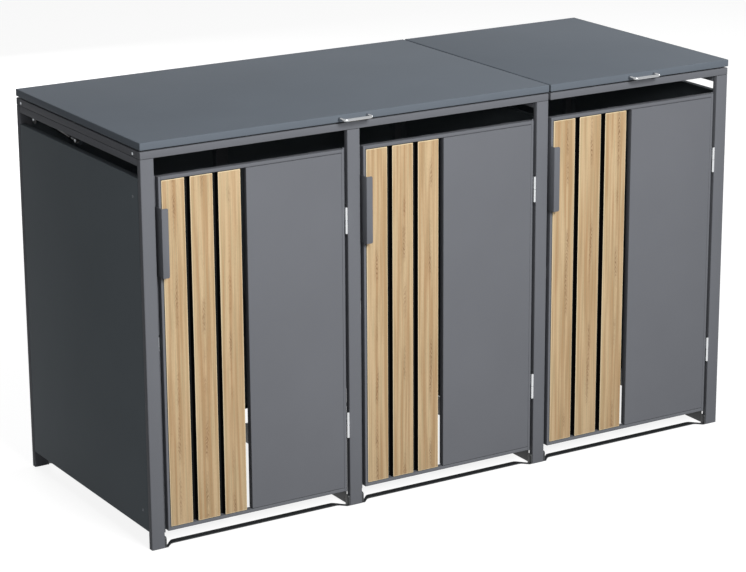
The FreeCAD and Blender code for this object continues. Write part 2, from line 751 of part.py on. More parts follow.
def make_lids():
    """The two lids with their handles, hinges and brackets."""
    frame_leaves = []
    pins = []
    lid_walls = {"double": ("left", "shared"), "single": ("right",)}
    lid_lefts = {
        "double": "left_face - lid_side",
        "single": f"left_face + {DOUBLE_WIDE} + lid_side + lid_split",
    }
    lid_wides = {
        "double": f"{DOUBLE_WIDE} + 2 * lid_side",
        "single": "post_wide + single_bay_wide - lid_split",
    }
    for unit in UNITS:
        keep(f"lid_{unit}_tray", make_lid_tray(unit, lid_lefts[unit], lid_wides[unit]))
        keep(f"lid_{unit}_handle", make_bow(f"lid_{unit}_handle", BOWS[unit]))
        leaves = []
        for middle in LID_HINGES[unit]:
            leaves.append(make_leaf(f"{middle}_lid_leaf", middle, True))
            frame_leaves.append(make_leaf(f"{middle}_frame_leaf", middle, False))
            pin_x = f"left_face + {middle} - leaf_wide / 2"
            pins.append(rod(f"{middle}_pin", "pin_radius", "leaf_wide", (pin_x, LID_AXIS_Y, LID_AXIS_Z), "x"))
        keep(f"lid_{unit}_hinge_leaves", group(f"lid_{unit}_hinge_leaves", leaves))
        brackets = [make_lid_bracket(wall) for wall in lid_walls[unit]]
        keep(f"lid_{unit}_strut_brackets", group(f"lid_{unit}_strut_brackets", brackets))
    keep("lid_hinge_frame_leaves", group("lid_hinge_frame_leaves", frame_leaves))
    keep("lid_hinge_pins", group("lid_hinge_pins", pins))
    keep("strut_wall_brackets", group("strut_wall_brackets", [make_wall_bracket(wall) for wall in WALLS]))
    for wall in WALLS:
        make_strut(wall)


def make_door_frame(name, left, wide, fixings):
    """Door frame: two stiles and two cross bars, with plates behind the slats' and the panel's ends."""
    inner_wide = f"{wide} - 2 * stile_wide"
    inner_left = f"{left} + stile_wide"
    top = "door_low + door_high"
    shapes = []
    for side, start in (("left", left), ("right", f"{left} + {wide} - stile_wide")):
        shapes.append(folded(f"{name}_{side}", ("stile_wide", "door_deep", "door_high"),
                             (start, "front_face", "door_low"), "+y", ("-x-y", "+x-y")))
    for side, start in (("low", "door_low"), ("high", f"{top} - cross_wide")):
        shapes.append(folded(f"{name}_{side}", (inner_wide, "door_deep", "cross_wide"),
                             (inner_left, "front_face", start), "+y", ("-y-z", "-y+z")))
    for n, middle in enumerate(fixings):
        for side, start in (("low", "door_low"), ("high", f"{top} - fixing_high")):
            shapes.append(block(f"{name}_fixing_{n}_{side}", ("fixing_wide", "fixing_thick", "fixing_high"),
                                (f"{middle} - fixing_wide / 2", "front_face + door_deep", start)))
    return group(name, shapes)


def make_slats(name, left, wide, gap):
    """Three upright wooden slats with eased front edges."""
    shapes = []
    for n in range(3):
        start = f"{left} + stile_wide + groove + {n} * ({wide} + {gap})"
        slat = new_body(f"{name}_{n}", (start, "front_face", "door_low + cross_wide + groove"))
        add_box(slat, "Additive", (wide, "door_deep", "door_high - 2 * cross_wide - 2 * groove"))
        round_edges(slat, "slat_round", ("-y",))
        shapes.append(slat)
    return group(name, shapes)


def make_back_strips(name, left, wide, gap):
    """Two dark strips behind the slats, one over each gap between them."""
    strips = []
    size = (f"{gap} + 2 * back_strip_lap", "strip_thick", "door_high - 2 * back_strip_short")
    for n in range(2):
        start = f"{left} + stile_wide + groove + {n + 1} * {wide} + {n} * {gap} - back_strip_lap"
        corner = (start, "front_face + door_deep", "door_low + back_strip_short")
        strips.append(block(f"{name}_{n}", size, corner))
    return group(name, strips)


def make_pull(name, left):
    """Pull plate: a bent angle on the door's free edge, with a lip to put the fingers behind."""
    corner = (f"{left} - pull_thick", "front_face - pull_reach", "door_low + pull_low")
    body = new_body(name, corner)
    add_box(body, "Additive", ("pull_thick", "pull_reach + pull_hold", "pull_high"))
    add_box(body, "Additive", ("pull_wide", "pull_thick", "pull_high"))
    round_edges(body, "pull_round", ("+x+z", "+x-z"))
    round_edges(body, "fold_round", ("-x-y",))
    return body


def make_pintle(name, post, low):
    """Post half of a door hinge: a short barrel welded on by its tongue, with the pin that stands in it."""
    axis_x = f"{post} - door_gap / 2"
    axis_y = "front_face - barrel_front"
    return fuse(name, [
        rod(f"{name}_barrel", "barrel_radius", "barrel_high", (axis_x, axis_y, low), "z"),
        rod(f"{name}_pin", "pin_radius", "door_pin_high", (axis_x, axis_y, f"{low} + barrel_high"), "z"),
        block(f"{name}_tongue", ("tongue_wide", "tongue_deep", "barrel_high"),
              (f"{post} - tongue_wide", "front_face", low)),
    ])


def make_barrel(name, post, low):
    """Door half of a door hinge: a barrel over the pin, closed at its top."""
    axis = (f"{post} - door_gap / 2", "front_face - barrel_front")
    start = f"{low} + barrel_high + barrel_gap"
    barrel = rod(f"{name}_barrel", "barrel_radius", "barrel_high", axis + (start,), "z")
    tongue = block(f"{name}_tongue", ("tongue_wide", "tongue_deep", "barrel_high"),
                   (f"{post} - door_gap", "front_face", start))
    bore = rod(f"{name}_bore", "pin_radius + fit_gap", "door_pin_high", axis + (start,), "z")
    return cut(name, fuse(f"{name}_stock", [barrel, tongue]), [bore])


def make_catch(name, post_side):
    """Magnetic catch: a block behind the door's free edge, on a tab along the post."""
    high = "catch_high"
    tab = block(f"{name}_tab", ("catch_tab", "post_deep - catch_front + catch_gap + catch_deep", high),
                (post_side, "front_face + catch_front", "catch_low"))
    case = block(f"{name}_case", ("catch_wide", "catch_deep", high),
                 (post_side, "front_face + post_deep + catch_gap", "catch_low"))
    return fuse(name, [tab, case])


def make_gap_strips():
    """Narrow strips welded upright to the posts, which close the view past the doors' two edges."""
    strips = []
    strip_y = "front_face + post_deep - strip_thick"
    top = "door_low + door_high"
    above = "catch_low + catch_high + strip_break"
    foot = "door_low - strip_drop"
    spans = (
        ("low", foot, f"catch_low - strip_break - ({foot})"),
        ("high", above, f"{top} - ({above})"),
    )
    for n in range(3):
        name = f"gap_strip_{n + 1}"
        for side, start, high in spans:
            strips.append(block(f"{name}_{side}", ("door_gap - strip_clear", "strip_thick", high),
                                (f"{POST_X[n]} + post_wide", strip_y, start)))
        strips.append(block(f"{name}_hinge", ("strip_reach", "strip_thick", "door_high + strip_drop"),
                            (f"{POST_X[n + 1]} - strip_reach", strip_y, foot)))
    keep("door_gap_strips", group("door_gap_strips", strips))


def make_doors():
    """The three doors, hinged on the right, with the post halves of their hinges and their catches."""
    pintles = []
    catches = []
    slat_wides = ("slat_wide", "slat_wide", "single_slat_wide")
    slat_gaps = ("slat_gap", "slat_gap", "single_slat_gap")
    insets = ("panel_inset", "panel_inset", "single_panel_inset")
    for n in range(3):
        name = f"door_{n + 1}"
        post_side = f"{POST_X[n]} + post_wide"
        left = f"{post_side} + door_gap"
        wide = f"{BAY_WIDES[n]} - 2 * door_gap"
        slat_x = f"{left} + stile_wide + groove + {slat_wides[n]} / 2"
        panel_x = f"{left} + {insets[n]}"
        panel_wide = f"{wide} - stile_wide - hinge_groove - {insets[n]}"
        fixings = [f"{slat_x} + {k} * ({slat_wides[n]} + {slat_gaps[n]})" for k in range(3)]
        fixings += [f"{panel_x} + ({panel_wide}) / 4", f"{panel_x} + 3 * ({panel_wide}) / 4"]
        keep(f"{name}_frame", make_door_frame(f"{name}_frame", left, wide, fixings))
        keep(f"{name}_slats", make_slats(f"{name}_slats", left, slat_wides[n], slat_gaps[n]))
        strips = make_back_strips(f"{name}_slat_backs", left, slat_wides[n], slat_gaps[n])
        keep(f"{name}_slat_backs", strips)
        panel_size = (panel_wide, "door_deep", "door_high - 2 * cross_wide - 2 * groove")
        panel_corner = (panel_x, "front_face", "door_low + cross_wide + groove")
        keep(f"{name}_panel", folded(f"{name}_panel", panel_size, panel_corner, "+y", ("-y",)))
        keep(f"{name}_handle", make_pull(f"{name}_handle", left))
        barrels = [make_barrel(f"{name}_{low}", POST_X[n + 1], low) for low in DOOR_HINGES]
        keep(f"{name}_hinge_barrels", group(f"{name}_hinge_barrels", barrels))
        pintles += [make_pintle(f"pintle_{n + 1}_{low}", POST_X[n + 1], low) for low in DOOR_HINGES]
        catches.append(make_catch(f"catch_{n + 1}", post_side))
    keep("door_hinge_pintles", group("door_hinge_pintles", pintles))
    keep("door_catches", group("door_catches", catches))


def check_and_write():
    """Stop at any failed object, then write one file for each sub-part."""
    doc.recompute()
    for item in doc.Objects:
        if "Invalid" in item.State or "Error" in item.State:
            raise RuntimeError(f"{item.Name} failed: {item.State}")
    for item in kept:
        if item.Shape.isNull() or not item.Shape.isValid():
            raise RuntimeError(f"{item.Label} has no valid shape")
    os.makedirs("parts", exist_ok=True)
    for item in kept:
        item.Shape.exportStep(f"parts/{item.Label}.step")
        print(item.Label, len(item.Shape.Solids), round(item.Shape.Volume))


make_posts()
make_walls()
make_back_panels()
make_top_rails()
make_floor_bars()
make_guide_rails()
make_lid_buffers()
make_fasteners()
make_lids()
make_gap_strips()
make_doors()
check_and_write()
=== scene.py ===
"""The looks of a store for three wheelie bins.

A frame of powder-coated tube carries folded steel walls, two lifting lids and three doors. The free
half of each door is faced with upright oak-decor boards. Names that end in a word for a size hold
millimetres; meshes are in metres.
"""

import json
import logging
import math
from collections.abc import Iterable, Sequence
from dataclasses import dataclass
from enum import Enum
from typing import Any

import bmesh
import bpy
from mathutils import Euler, Matrix, Vector


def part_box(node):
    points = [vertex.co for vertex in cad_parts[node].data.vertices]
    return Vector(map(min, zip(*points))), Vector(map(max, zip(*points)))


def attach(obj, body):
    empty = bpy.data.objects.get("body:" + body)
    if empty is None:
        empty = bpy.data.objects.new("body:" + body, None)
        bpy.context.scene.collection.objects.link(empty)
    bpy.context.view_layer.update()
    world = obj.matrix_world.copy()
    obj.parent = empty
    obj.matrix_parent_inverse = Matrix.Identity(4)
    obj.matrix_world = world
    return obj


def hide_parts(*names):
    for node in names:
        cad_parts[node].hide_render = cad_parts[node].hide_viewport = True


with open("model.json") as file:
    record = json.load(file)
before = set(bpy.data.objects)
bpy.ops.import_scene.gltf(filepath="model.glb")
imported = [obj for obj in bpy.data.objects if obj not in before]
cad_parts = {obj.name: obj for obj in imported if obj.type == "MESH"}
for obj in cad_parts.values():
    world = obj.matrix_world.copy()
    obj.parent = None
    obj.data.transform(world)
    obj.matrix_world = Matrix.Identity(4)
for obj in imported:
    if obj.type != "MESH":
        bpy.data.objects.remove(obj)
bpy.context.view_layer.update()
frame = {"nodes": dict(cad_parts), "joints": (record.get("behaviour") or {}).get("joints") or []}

LOG = logging.getLogger("bin_store")
MM = 0.001
FOLD_SEGMENTS = 4
CORNER_STEPS = 6
MERGE_DISTANCE = 1e-5
SHARP_ANGLE = math.radians(34)
CUT_ANGLE = math.radians(50)
BAR_SIDES = 24
X_AXIS = Vector((1, 0, 0))
Y_AXIS = Vector((0, 1, 0))
Z_AXIS = Vector((0, 0, 1))

# Short names for the types that come up most.
Tree, Node, Socket = bpy.types.NodeTree, bpy.types.Node, bpy.types.NodeSocket
Mesh, Object = bpy.types.Mesh, bpy.types.Object
Colour = tuple[float, float, float, float]
Box = tuple[Vector, Vector]
Step = tuple[float, float]


class Slot(Enum):
    """The record's material slots."""

    FRAME = "frame_coat"
    WALL = "wall_coat"
    LID = "lid_coat"
    DOOR = "door_coat"
    BOARDS = "oak_slats"
    BLACK = "black_coat"
    BRIGHT = "bright_steel"
    ZINC = "zinc_steel"
    RUBBER = "black_rubber"
    PLASTIC = "black_plastic"


class Side(Enum):
    """The way that the open side of a folded sheet faces."""

    LEFT = (-1, 0, 0)
    RIGHT = (1, 0, 0)
    FRONT = (0, -1, 0)
    BACK = (0, 1, 0)
    DOWN = (0, 0, -1)
    UP = (0, 0, 1)


def linear(code: str) -> Colour:
    """Turn an sRGB hex colour to linear light.

    Args:
        code: Six hex digits after a hash sign.

    Returns:
        Red, green, blue and an alpha of 1.
    """
    shares = [int(code[n:n + 2], 16) / 255 for n in (1, 3, 5)]
    light = [s / 12.92 if s <= 0.04045 else ((s + 0.055) / 1.055) ** 2.4 for s in shares]
    return (*light, 1.0)


def per(size: float) -> float:
    """Scale of a pattern whose features are this many millimetres wide."""
    return 1 / (size * MM)


def plug(node: Node, inputs: dict[str | int, Any]) -> None:
    """Fill a node's inputs.

    Args:
        node: The node.
        inputs: What each input holds, by name or number: a value, or a node or socket to link.
    """
    for key, value in inputs.items():
        named = [socket for socket in node.inputs if socket.name == key and socket.enabled]
        socket = named[0] if named else node.inputs[key]
        if isinstance(value, Node):
            value = next(s for s in value.outputs if s.enabled)
        if isinstance(value, Socket):
            node.id_data.links.new(value, socket)
        else:
            socket.default_value = value


def add_node(tree: Tree, kind: str, inputs: dict[str | int, Any] | None = None,
             **settings: Any) -> Node:
    """Add a node with its settings and links.

    Args:
        tree: The tree that gets the node.
        kind: The node's type.
        inputs: What its inputs hold, as plug takes them.
        settings: The node's own properties.

    Returns:
        The new node.
    """
    node = tree.nodes.new(kind)
    for name, value in settings.items():
        setattr(node, name, value)
    plug(node, inputs or {})
    return node


def ramp(tree: Tree, value: Any, start: float, stop: float, low: Any = 0.0, high: Any = 1.0) -> Node:
    """Carry a value between start and stop to the range from low to high, held at its ends."""
    return add_node(tree, "ShaderNodeMapRange", {"Value": value, "From Min": start, "From Max": stop,
                                                 "To Min": low, "To Max": high})


def maths(tree: Tree, operation: str, *values: Any) -> Node:
    """Work out a number from numbers, nodes or sockets."""
    return add_node(tree, "ShaderNodeMath", dict(enumerate(values)), operation=operation)


@dataclass(frozen=True)
class Finish:
    """What a piece is made of or coated with."""

    name: str
    slot: Slot

    def material(self) -> bpy.types.Material:
        """Give the finish's material, made on first use.

        Returns:
            The material.
        """
        made = bpy.data.materials.get(self.name)
        if made is None:
            made = bpy.data.materials.new(self.name)
            made.use_nodes = True
            self.dress(made.node_tree, made.node_tree.nodes["Principled BSDF"])
        return made

    def dress(self, tree: Tree, shader: Node) -> None:
        """Build the finish's own nodes round its shader.

        Args:
            tree: The material's node tree.
            shader: Its Principled shader.
        """
        raise NotImplementedError


@dataclass(frozen=True)
class GrainedFinish(Finish):
    """One colour that strays a little, with a fine grain in its gloss and its relief."""

    colour: str = "#808080"
    roughness: float = 0.5
    roughness_stray: float = 0.04
    grain_wide: float = 1.0
    grain_deep: float = 0.05
    grain_relief: float = 0.5
    grain_detail: float = 2.0
    mottle: float = 0.15

    def dress(self, tree: Tree, shader: Node) -> None:
        """Build the straying colour, the uneven gloss and the relief.

        Args:
            tree: The material's node tree.
            shader: Its Principled shader.
        """
        place = add_node(tree, "ShaderNodeTexCoord").outputs["Object"]
        grain = add_node(tree, "ShaderNodeTexNoise",
                         {"Vector": place, "Scale": per(self.grain_wide), "Detail": self.grain_detail})
        colour = add_node(tree, "ShaderNodeVectorMath",
                          {0: linear(self.colour)[:3], "Scale": self.level(tree, place, grain)},
                          operation="SCALE")
        gloss = ramp(tree, grain, 0, 1, self.roughness - self.roughness_stray,
                     self.roughness + self.roughness_stray)
        relief = add_node(tree, "ShaderNodeBump",
                          {"Height": grain, "Strength": self.grain_relief,
                           "Distance": self.grain_deep * MM})
        plug(shader, {"Base Color": colour, "Roughness": gloss, "Normal": relief} | self.constants())

    def level(self, tree: Tree, place: Socket, grain: Node) -> Node:
        """Work out how light the colour is from place to place, here with the grain."""
        return ramp(tree, grain, 0, 1, 1 - self.mottle, 1 + self.mottle)

    def constants(self) -> dict[str, float]:
        """Give the shader's values that don't change over the piece."""
        return {}


@dataclass(frozen=True)
class PowderCoat(GrainedFinish):
    """Polyester powder coat, sprayed dry and baked on galvanised sheet.

    The eye sees an even colour with a low satin sheen. The baked film has a very fine ripple that
    breaks up reflections, and the colour drifts a little over a panel.
    """

    colour: str = "#686a6f"
    roughness: float = 0.6
    grain_wide: float = 2.2
    sheen_level: float = 0.05
    drift: float = 0.025
    drift_wide: float = 240

    def level(self, tree: Tree, place: Socket, grain: Node) -> Node:
        """Drift slowly over a panel."""
        drift = add_node(tree, "ShaderNodeTexNoise",
                         {"Vector": place, "Scale": per(self.drift_wide), "Detail": 3.0})
        return ramp(tree, drift, 0.3, 0.7, 1 - self.drift, 1 + self.drift)

    def constants(self) -> dict[str, float]:
        """Polyester's refraction, and its sheen."""
        return {"IOR": 1.5, "Specular IOR Level": self.sheen_level}


@dataclass(frozen=True)
class Metal(GrainedFinish):
    """Bare or plated steel, drawn, stamped or polished.

    The eye sees the surroundings in it, softened by fine marks, and a tone that shifts in patches
    where plating is uneven.
    """

    colour: str = "#d6d8da"
    roughness: float = 0.24
    roughness_stray: float = 0.06
    grain_wide: float = 1.2
    grain_deep: float = 0.02
    grain_relief: float = 0.2
    grain_detail: float = 3.0
    patch: float = 0.06
    patch_wide: float = 4

    def level(self, tree: Tree, place: Socket, grain: Node) -> Node:
        """Darken a little from patch to patch."""
        patches = add_node(tree, "ShaderNodeTexVoronoi",
                           {"Vector": place, "Scale": per(self.patch_wide)}, feature="SMOOTH_F1")
        return ramp(tree, patches.outputs["Distance"], 0, 1, 1, 1 - self.patch)

    def constants(self) -> dict[str, float]:
        """A metal all through."""
        return {"Metallic": 1.0}


@dataclass(frozen=True)
class Moulded(GrainedFinish):
    """Rubber or nylon, moulded in a fine-blasted tool.

    The eye sees a dull, slightly grainy surface that greys at grazing light.
    """

    colour: str = "#191a1b"
    roughness: float = 0.7
    roughness_stray: float = 0.1
    grain_wide: float = 0.8
    grain_relief: float = 0.4
    grain_detail: float = 4.0


@dataclass(frozen=True)
class OakDecor(Finish):
    """High-pressure laminate board: a printed oak face, pressed on a core of black resin paper.

    The eye sees straight streaks of pale and tan wood, and short arches of dark flecks, one above
    the other, along a heart line. A pale band along each rounded edge is a painted highlight,
    and the sides are black.
    The boards carry their own coordinates and numbers as attributes, so no two look alike.
    """

    board_wide: float = 72
    board_long: float = 1036
    pale: str = "#c1a885"
    tan: str = "#aa8b67"
    grey: str = "#9e9272"
    dark: str = "#72543a"
    # Painted highlight: the pale colour laid along the boards' rounded edges.
    arris_highlight: str = "#e0cfab"
    core: str = "#0b0b0c"
    streak_wide: float = 11
    streak_long: float = 420
    fine_wide: float = 3.4
    fine_long: float = 190
    pore_wide: float = 1.1
    pore_long: float = 8
    shift_apart: float = 7.0
    heart_drift: float = 22
    heart_wander: float = 9
    heart_wide: float = 7.5
    wander_long: float = 260
    even_wide: float = 4000
    ring_rise: float = 15
    ring_steep: float = 5
    ragged: float = 1.6
    ragged_wide: float = 5
    ragged_long: float = 30
    patch_long: float = 130
    arris_highlight_wide: float = 2.8
    face_deep: float = 0.9
    face_fade: float = 0.3

    def dress(self, tree: Tree, shader: Node) -> None:
        """Build the oak print, its pale arris and the black core.

        Args:
            tree: The material's node tree.
            shader: Its Principled shader.
        """
        plank = add_node(tree, "ShaderNodeAttribute", attribute_name="plank").outputs["Vector"]
        tone = add_node(tree, "ShaderNodeAttribute", attribute_name="tone").outputs["Fac"]
        across, deep, up = add_node(tree, "ShaderNodeSeparateXYZ", {0: plank}).outputs
        apart = maths(tree, "MULTIPLY", tone, self.shift_apart)
        moved = add_node(tree, "ShaderNodeVectorMath", {0: plank, 1: apart}).outputs[0]
        broad = self.stretched(tree, moved, self.streak_wide, self.streak_long, 0.38, 0.62)
        fine = self.stretched(tree, moved, self.fine_wide, self.fine_long, 0.45, 0.7, 0.5)
        pores = self.stretched(tree, moved, self.pore_wide, self.pore_long, 0.55, 0.75, 0.22)
        flecks = self.late_wood(tree, across, up, moved, tone)
        rim = self.rim(tree, across, up)
        below = ramp(tree, deep, self.face_deep * MM, (self.face_deep + self.face_fade) * MM)
        colour: Colour | Node = linear(self.pale)
        # The rim layer is a painted highlight along the rounded edges; the layer below is the black
        # core.
        for share, layer in ((broad, self.tan), (fine, self.grey), (pores, self.dark),
                             (flecks, self.dark), (rim, self.arris_highlight), (below, self.core)):
            colour = add_node(tree, "ShaderNodeMix",
                              {"Factor": share, "A": colour, "B": linear(layer)}, data_type="RGBA")
        relief = add_node(tree, "ShaderNodeBump",
                          {"Height": flecks, "Strength": 0.35, "Distance": 0.08 * MM}, invert=True)
        plug(shader, {"Base Color": colour, "Roughness": ramp(tree, flecks, 0, 1, 0.52, 0.7),
                      "Normal": relief, "IOR": 1.5, "Specular IOR Level": 0.1})

    def stretched(self, tree: Tree, place: Socket, wide: float, long: float, low: float,
                  high: float, top: float = 1.0) -> Node:
        """Noise drawn out along the board, as a share from 0 to its top.

        Args:
            tree: The material's node tree.
            place: Where on the board, in metres.
            wide: Width of its features.
            long: Length of its features.
            low: Noise at which the share is 0.
            high: Noise at which the share is at its top.
            top: The highest share.

        Returns:
            The node that holds the share.
        """
        scaled = add_node(tree, "ShaderNodeVectorMath",
                          {0: place, 1: (per(wide), per(wide), per(long))}, operation="MULTIPLY")
        noise = add_node(tree, "ShaderNodeTexNoise", {"Vector": scaled, "Scale": 1.0, "Detail": 2.0})
        return ramp(tree, noise, low, high, 0, top)

    def late_wood(self, tree: Tree, across: Socket, up: Socket, moved: Socket, tone: Socket) -> Node:
        """Short dark arches, one above the other, where the face cuts the rings at the heart line.

        Args:
            tree: The material's node tree.
            across: Place across the board.
            up: Place along the board.
            moved: Place, shifted by the board's own number.
            tone: The board's own number.

        Returns:
            A node whose value is up to 1 on a dark arch.
        """
        aside = self.heart_drift / 2 * MM
        wander = self.stretched(tree, moved, self.even_wide, self.wander_long, 0.3, 0.7,
                                self.heart_wander * MM)
        heart = maths(tree, "ADD", ramp(tree, tone, 0, 1, -aside, aside), wander)
        off = maths(tree, "ABSOLUTE", maths(tree, "SUBTRACT", across, heart))
        climb = self.stretched(tree, moved, self.ragged_wide, self.ragged_long, 0.2, 0.8,
                               self.ragged * math.tau)
        for place, size in ((up, self.ring_rise), (off, self.ring_steep)):
            climb = maths(tree, "MULTIPLY_ADD", place, math.tau * per(size), climb)
        arch = ramp(tree, maths(tree, "SINE", climb), -0.2, 0.9, 0.16, 0.78)
        patch = self.stretched(tree, moved, self.even_wide, self.patch_long, 0.46, 0.62)
        return maths(tree, "MULTIPLY", arch, ramp(tree, off, self.heart_wide * MM, MM, 0, patch))

    def rim(self, tree: Tree, across: Socket, up: Socket) -> Node:
        """The painted highlight: a pale band along the rounded edges, where light would catch them.

        Args:
            tree: The material's node tree.
            across: Place across the board.
            up: Place along the board.

        Returns:
            A node whose value is how much of the pale colour shows.
        """
        shares = [ramp(tree, maths(tree, "ABSOLUTE", place), (size / 2 - self.arris_highlight_wide) * MM,
                       (size - self.arris_highlight_wide) / 2 * MM, 0, 0.8)
                  for place, size in ((across, self.board_wide), (up, self.board_long))]
        return maths(tree, "MAXIMUM", *shares)


# Slate coats: one dull blue-grey, with painted light in two copies: darker and greener on the
# walls as painted shade of the sides, bluer on the lids as a painted sky reflection on the tops.
FRAME_COAT = PowderCoat("slate_powder_coat_frame", Slot.FRAME)
WALL_COAT = PowderCoat("slate_coat_walls_shade_tinted", Slot.WALL, colour="#5f666b")
LID_COAT = PowderCoat("slate_coat_lids_skylight_tinted", Slot.LID, colour="#616870")
DOOR_COAT = PowderCoat("slate_powder_coat_doors", Slot.DOOR)
# Black coats: satin on bars and lugs, glossy enamel on the strut tubes, and flat on the strips
# behind the board gaps, whose black is painted shade of the store's inside seen through the gaps.
BLACK_COAT = PowderCoat("black_powder_coat", Slot.BLACK, colour="#292b2d", roughness=0.45,
                        sheen_level=0.5)
GAP_SHADE_BLACK = PowderCoat("matt_black_gap_shade", Slot.BLACK, colour="#1b1c1d", roughness=0.75)
TUBE_PAINT = PowderCoat("black_strut_enamel", Slot.BLACK, colour="#101112", roughness=0.24,
                        sheen_level=0.5, grain_deep=0.01)
# Steel: bright on the hinges, greyer on the lids' handles, dark and oily on the strut rods.
BRIGHT_STEEL = Metal("polished_stainless_steel", Slot.BRIGHT)
SATIN_STEEL = Metal("satin_stainless_steel", Slot.BRIGHT, colour="#b3b5b7", roughness=0.22)
ROD_STEEL = Metal("oiled_hard_chrome", Slot.BRIGHT, colour="#7d8083", roughness=0.3, patch=0.02)
# Zinc: bluish white and a little patchy, chalky on the studs, dark grey where blackened.
ZINC = Metal("zinc_plated_steel", Slot.ZINC, colour="#c3c7ca", roughness=0.34, patch=0.12)
PALE_ZINC = Metal("pale_zinc_plated_studs", Slot.ZINC, colour="#e2e5e7", roughness=0.55, patch=0.06)
DULL_ZINC = Metal("blackened_zinc", Slot.ZINC, colour="#5c6064", roughness=0.5, patch=0.2)
# Rubber is a worn grey, and nylon black with a dull gleam.
RUBBER = Moulded("grey_rubber", Slot.RUBBER, colour="#5b5f62")
NYLON = Moulded("black_nylon", Slot.PLASTIC, roughness=0.5)


def bar_steps(start: float, stop: float, radius: float, ease: float = 0.0,
              middle: float = 0.0) -> list[Step]:
    """Lathe steps of a round bar with eased ends.

    Args:
        start: Where it starts along its axis.
        stop: Where it stops.
        radius: Its radius.
        ease: How far its edges are eased.
        middle: Radius of the flat face in the middle of each end, or 0 for a plain end.

    Returns:
        Steps of distance along the axis and radius.
    """
    return list(dict.fromkeys([(start, middle), (start, radius - ease), (start + ease, radius),
                               (stop - ease, radius), (stop, radius - ease), (stop, middle)]))


def box_matrix(low: Vector, high: Vector) -> Matrix:
    """Place and size of a box, for a cube with sides of a metre."""
    return Matrix.Translation((low + high) / 2) @ Matrix.Diagonal((*(high - low), 1))


def left_end(low: Vector, high: Vector) -> tuple[Vector, float]:
    """Middle of a box's left face, and the box's width in millimetres."""
    middle = (low + high) / 2
    return Vector((low.x, middle.y, middle.z)), (high.x - low.x) / MM


class Workpiece:
    """A mesh in the making, as one or more closed shells."""

    def __init__(self) -> None:
        """Start with nothing."""
        self.bm = bmesh.new()

    def block(self, low: Vector, high: Vector, ease: float, steps: int = 2) -> "Workpiece":
        """Add a block with eased edges.

        Args:
            low: Its lowest corner.
            high: Its highest corner.
            ease: Radius of its edges.
            steps: Facets of each rounded edge.

        Returns:
            This workpiece.
        """
        made = bmesh.ops.create_cube(self.bm, size=1.0, matrix=box_matrix(low, high))
        edges = {edge for vertex in made["verts"] for edge in vertex.link_edges}
        bmesh.ops.bevel(self.bm, geom=list(edges), offset=ease * MM, segments=steps, profile=0.5,
                        affect="EDGES")
        return self

    def turned(self, start: Vector, direction: Vector, profile: Sequence[Step],
               sides: int) -> "Workpiece":
        """Add a piece turned on a lathe.

        Args:
            start: Where its axis starts.
            direction: Which way its axis runs.
            profile: Steps of distance along the axis and radius, from end to end.
            sides: How many sides it has.

        Returns:
            This workpiece.
        """
        turn = direction.to_track_quat("Z", "Y").to_matrix()
        rings = []
        for along, radius in profile:
            angles = [math.tau * n / sides for n in range(sides if radius else 1)]
            spots = [Vector((radius * math.cos(a), radius * math.sin(a), along)) * MM for a in angles]
            rings.append([self.bm.verts.new(start + turn @ spot) for spot in spots])
        faces = []
        for near, far in zip(rings, rings[1:]):
            for n in range(sides):
                corners = [near[n % len(near)], near[(n + 1) % len(near)],
                           far[(n + 1) % len(far)], far[n % len(far)]]
                faces.append(self.bm.faces.new(list(dict.fromkeys(corners))))
        faces += [self.bm.faces.new(ring) for ring in (rings[0][::-1], rings[-1]) if len(ring) > 1]
        bmesh.ops.recalc_face_normals(self.bm, faces=faces)
        return self

    def plate(self, outline: Sequence[Vector], thickness: Vector, ease: float) -> "Workpiece":
        """Add a flat plate with eased edges.

        Args:
            outline: Its corners, in order.
            thickness: The way and the distance that it is thick.
            ease: Radius of its edges.

        Returns:
            This workpiece.
        """
        near = self.bm.faces.new([self.bm.verts.new(spot) for spot in outline])
        made = bmesh.ops.extrude_face_region(self.bm, geom=[near])["geom"]
        bmesh.ops.translate(self.bm, vec=thickness,
                            verts=[part for part in made if isinstance(part, bmesh.types.BMVert)])
        far = next(part for part in made if isinstance(part, bmesh.types.BMFace))
        sides = {face for edge in near.edges for face in edge.link_faces} - {near}
        bmesh.ops.recalc_face_normals(self.bm, faces=[near, far, *sides])
        bmesh.ops.bevel(self.bm, geom=list({*near.edges, *far.edges}), offset=ease * MM, segments=2,
                        profile=0.5, affect="EDGES")
        return self

    def join(self, meshes: Iterable[Mesh]) -> "Workpiece":
        """Add finished meshes.

        Args:
            meshes: The meshes, in place.

        Returns:
            This workpiece.
        """
        for mesh in meshes:
            self.bm.from_mesh(mesh)
        return self

    def mesh(self) -> Mesh:
        """Finish the mesh.

        Returns:
            The mesh, not yet smoothed.
        """
        made = bpy.data.meshes.new("workpiece")
        self.bm.to_mesh(made)
        self.bm.free()
        return made


def softened(corners: Sequence[Vector], chosen: Iterable[int], radius: float) -> list[Vector]:
    """Round some corners of an outline.

    Args:
        corners: The outline's corners, in order.
        chosen: Numbers of the corners that are rounded.
        radius: The radius.

    Returns:
        The outline's points, in order.
    """
    points = []
    for n, corner in enumerate(corners):
        if n not in chosen:
            points.append(corner)
            continue
        back = (corners[n - 1] - corner).normalized()
        on = (corners[(n + 1) % len(corners)] - corner).normalized()
        half = back.angle(on) / 2
        reach = radius * MM / math.tan(half)
        middle = corner + (back + on).normalized() * radius * MM / math.sin(half)
        spoke = corner + back * reach - middle
        axis = spoke.cross(corner + on * reach - middle)
        turns = [(math.pi - 2 * half) * k / CORNER_STEPS for k in range(CORNER_STEPS + 1)]
        points += [middle + Matrix.Rotation(turn, 3, axis) @ spoke for turn in turns]
    return points


def placed(name: str, data: Any) -> Object:
    """Put data in the scene.

    Args:
        name: The object's name.
        data: A mesh, a camera or a lamp.

    Returns:
        The object that carries the data.
    """
    made = bpy.data.objects.new(name, data)
    bpy.context.scene.collection.objects.link(made)
    return made


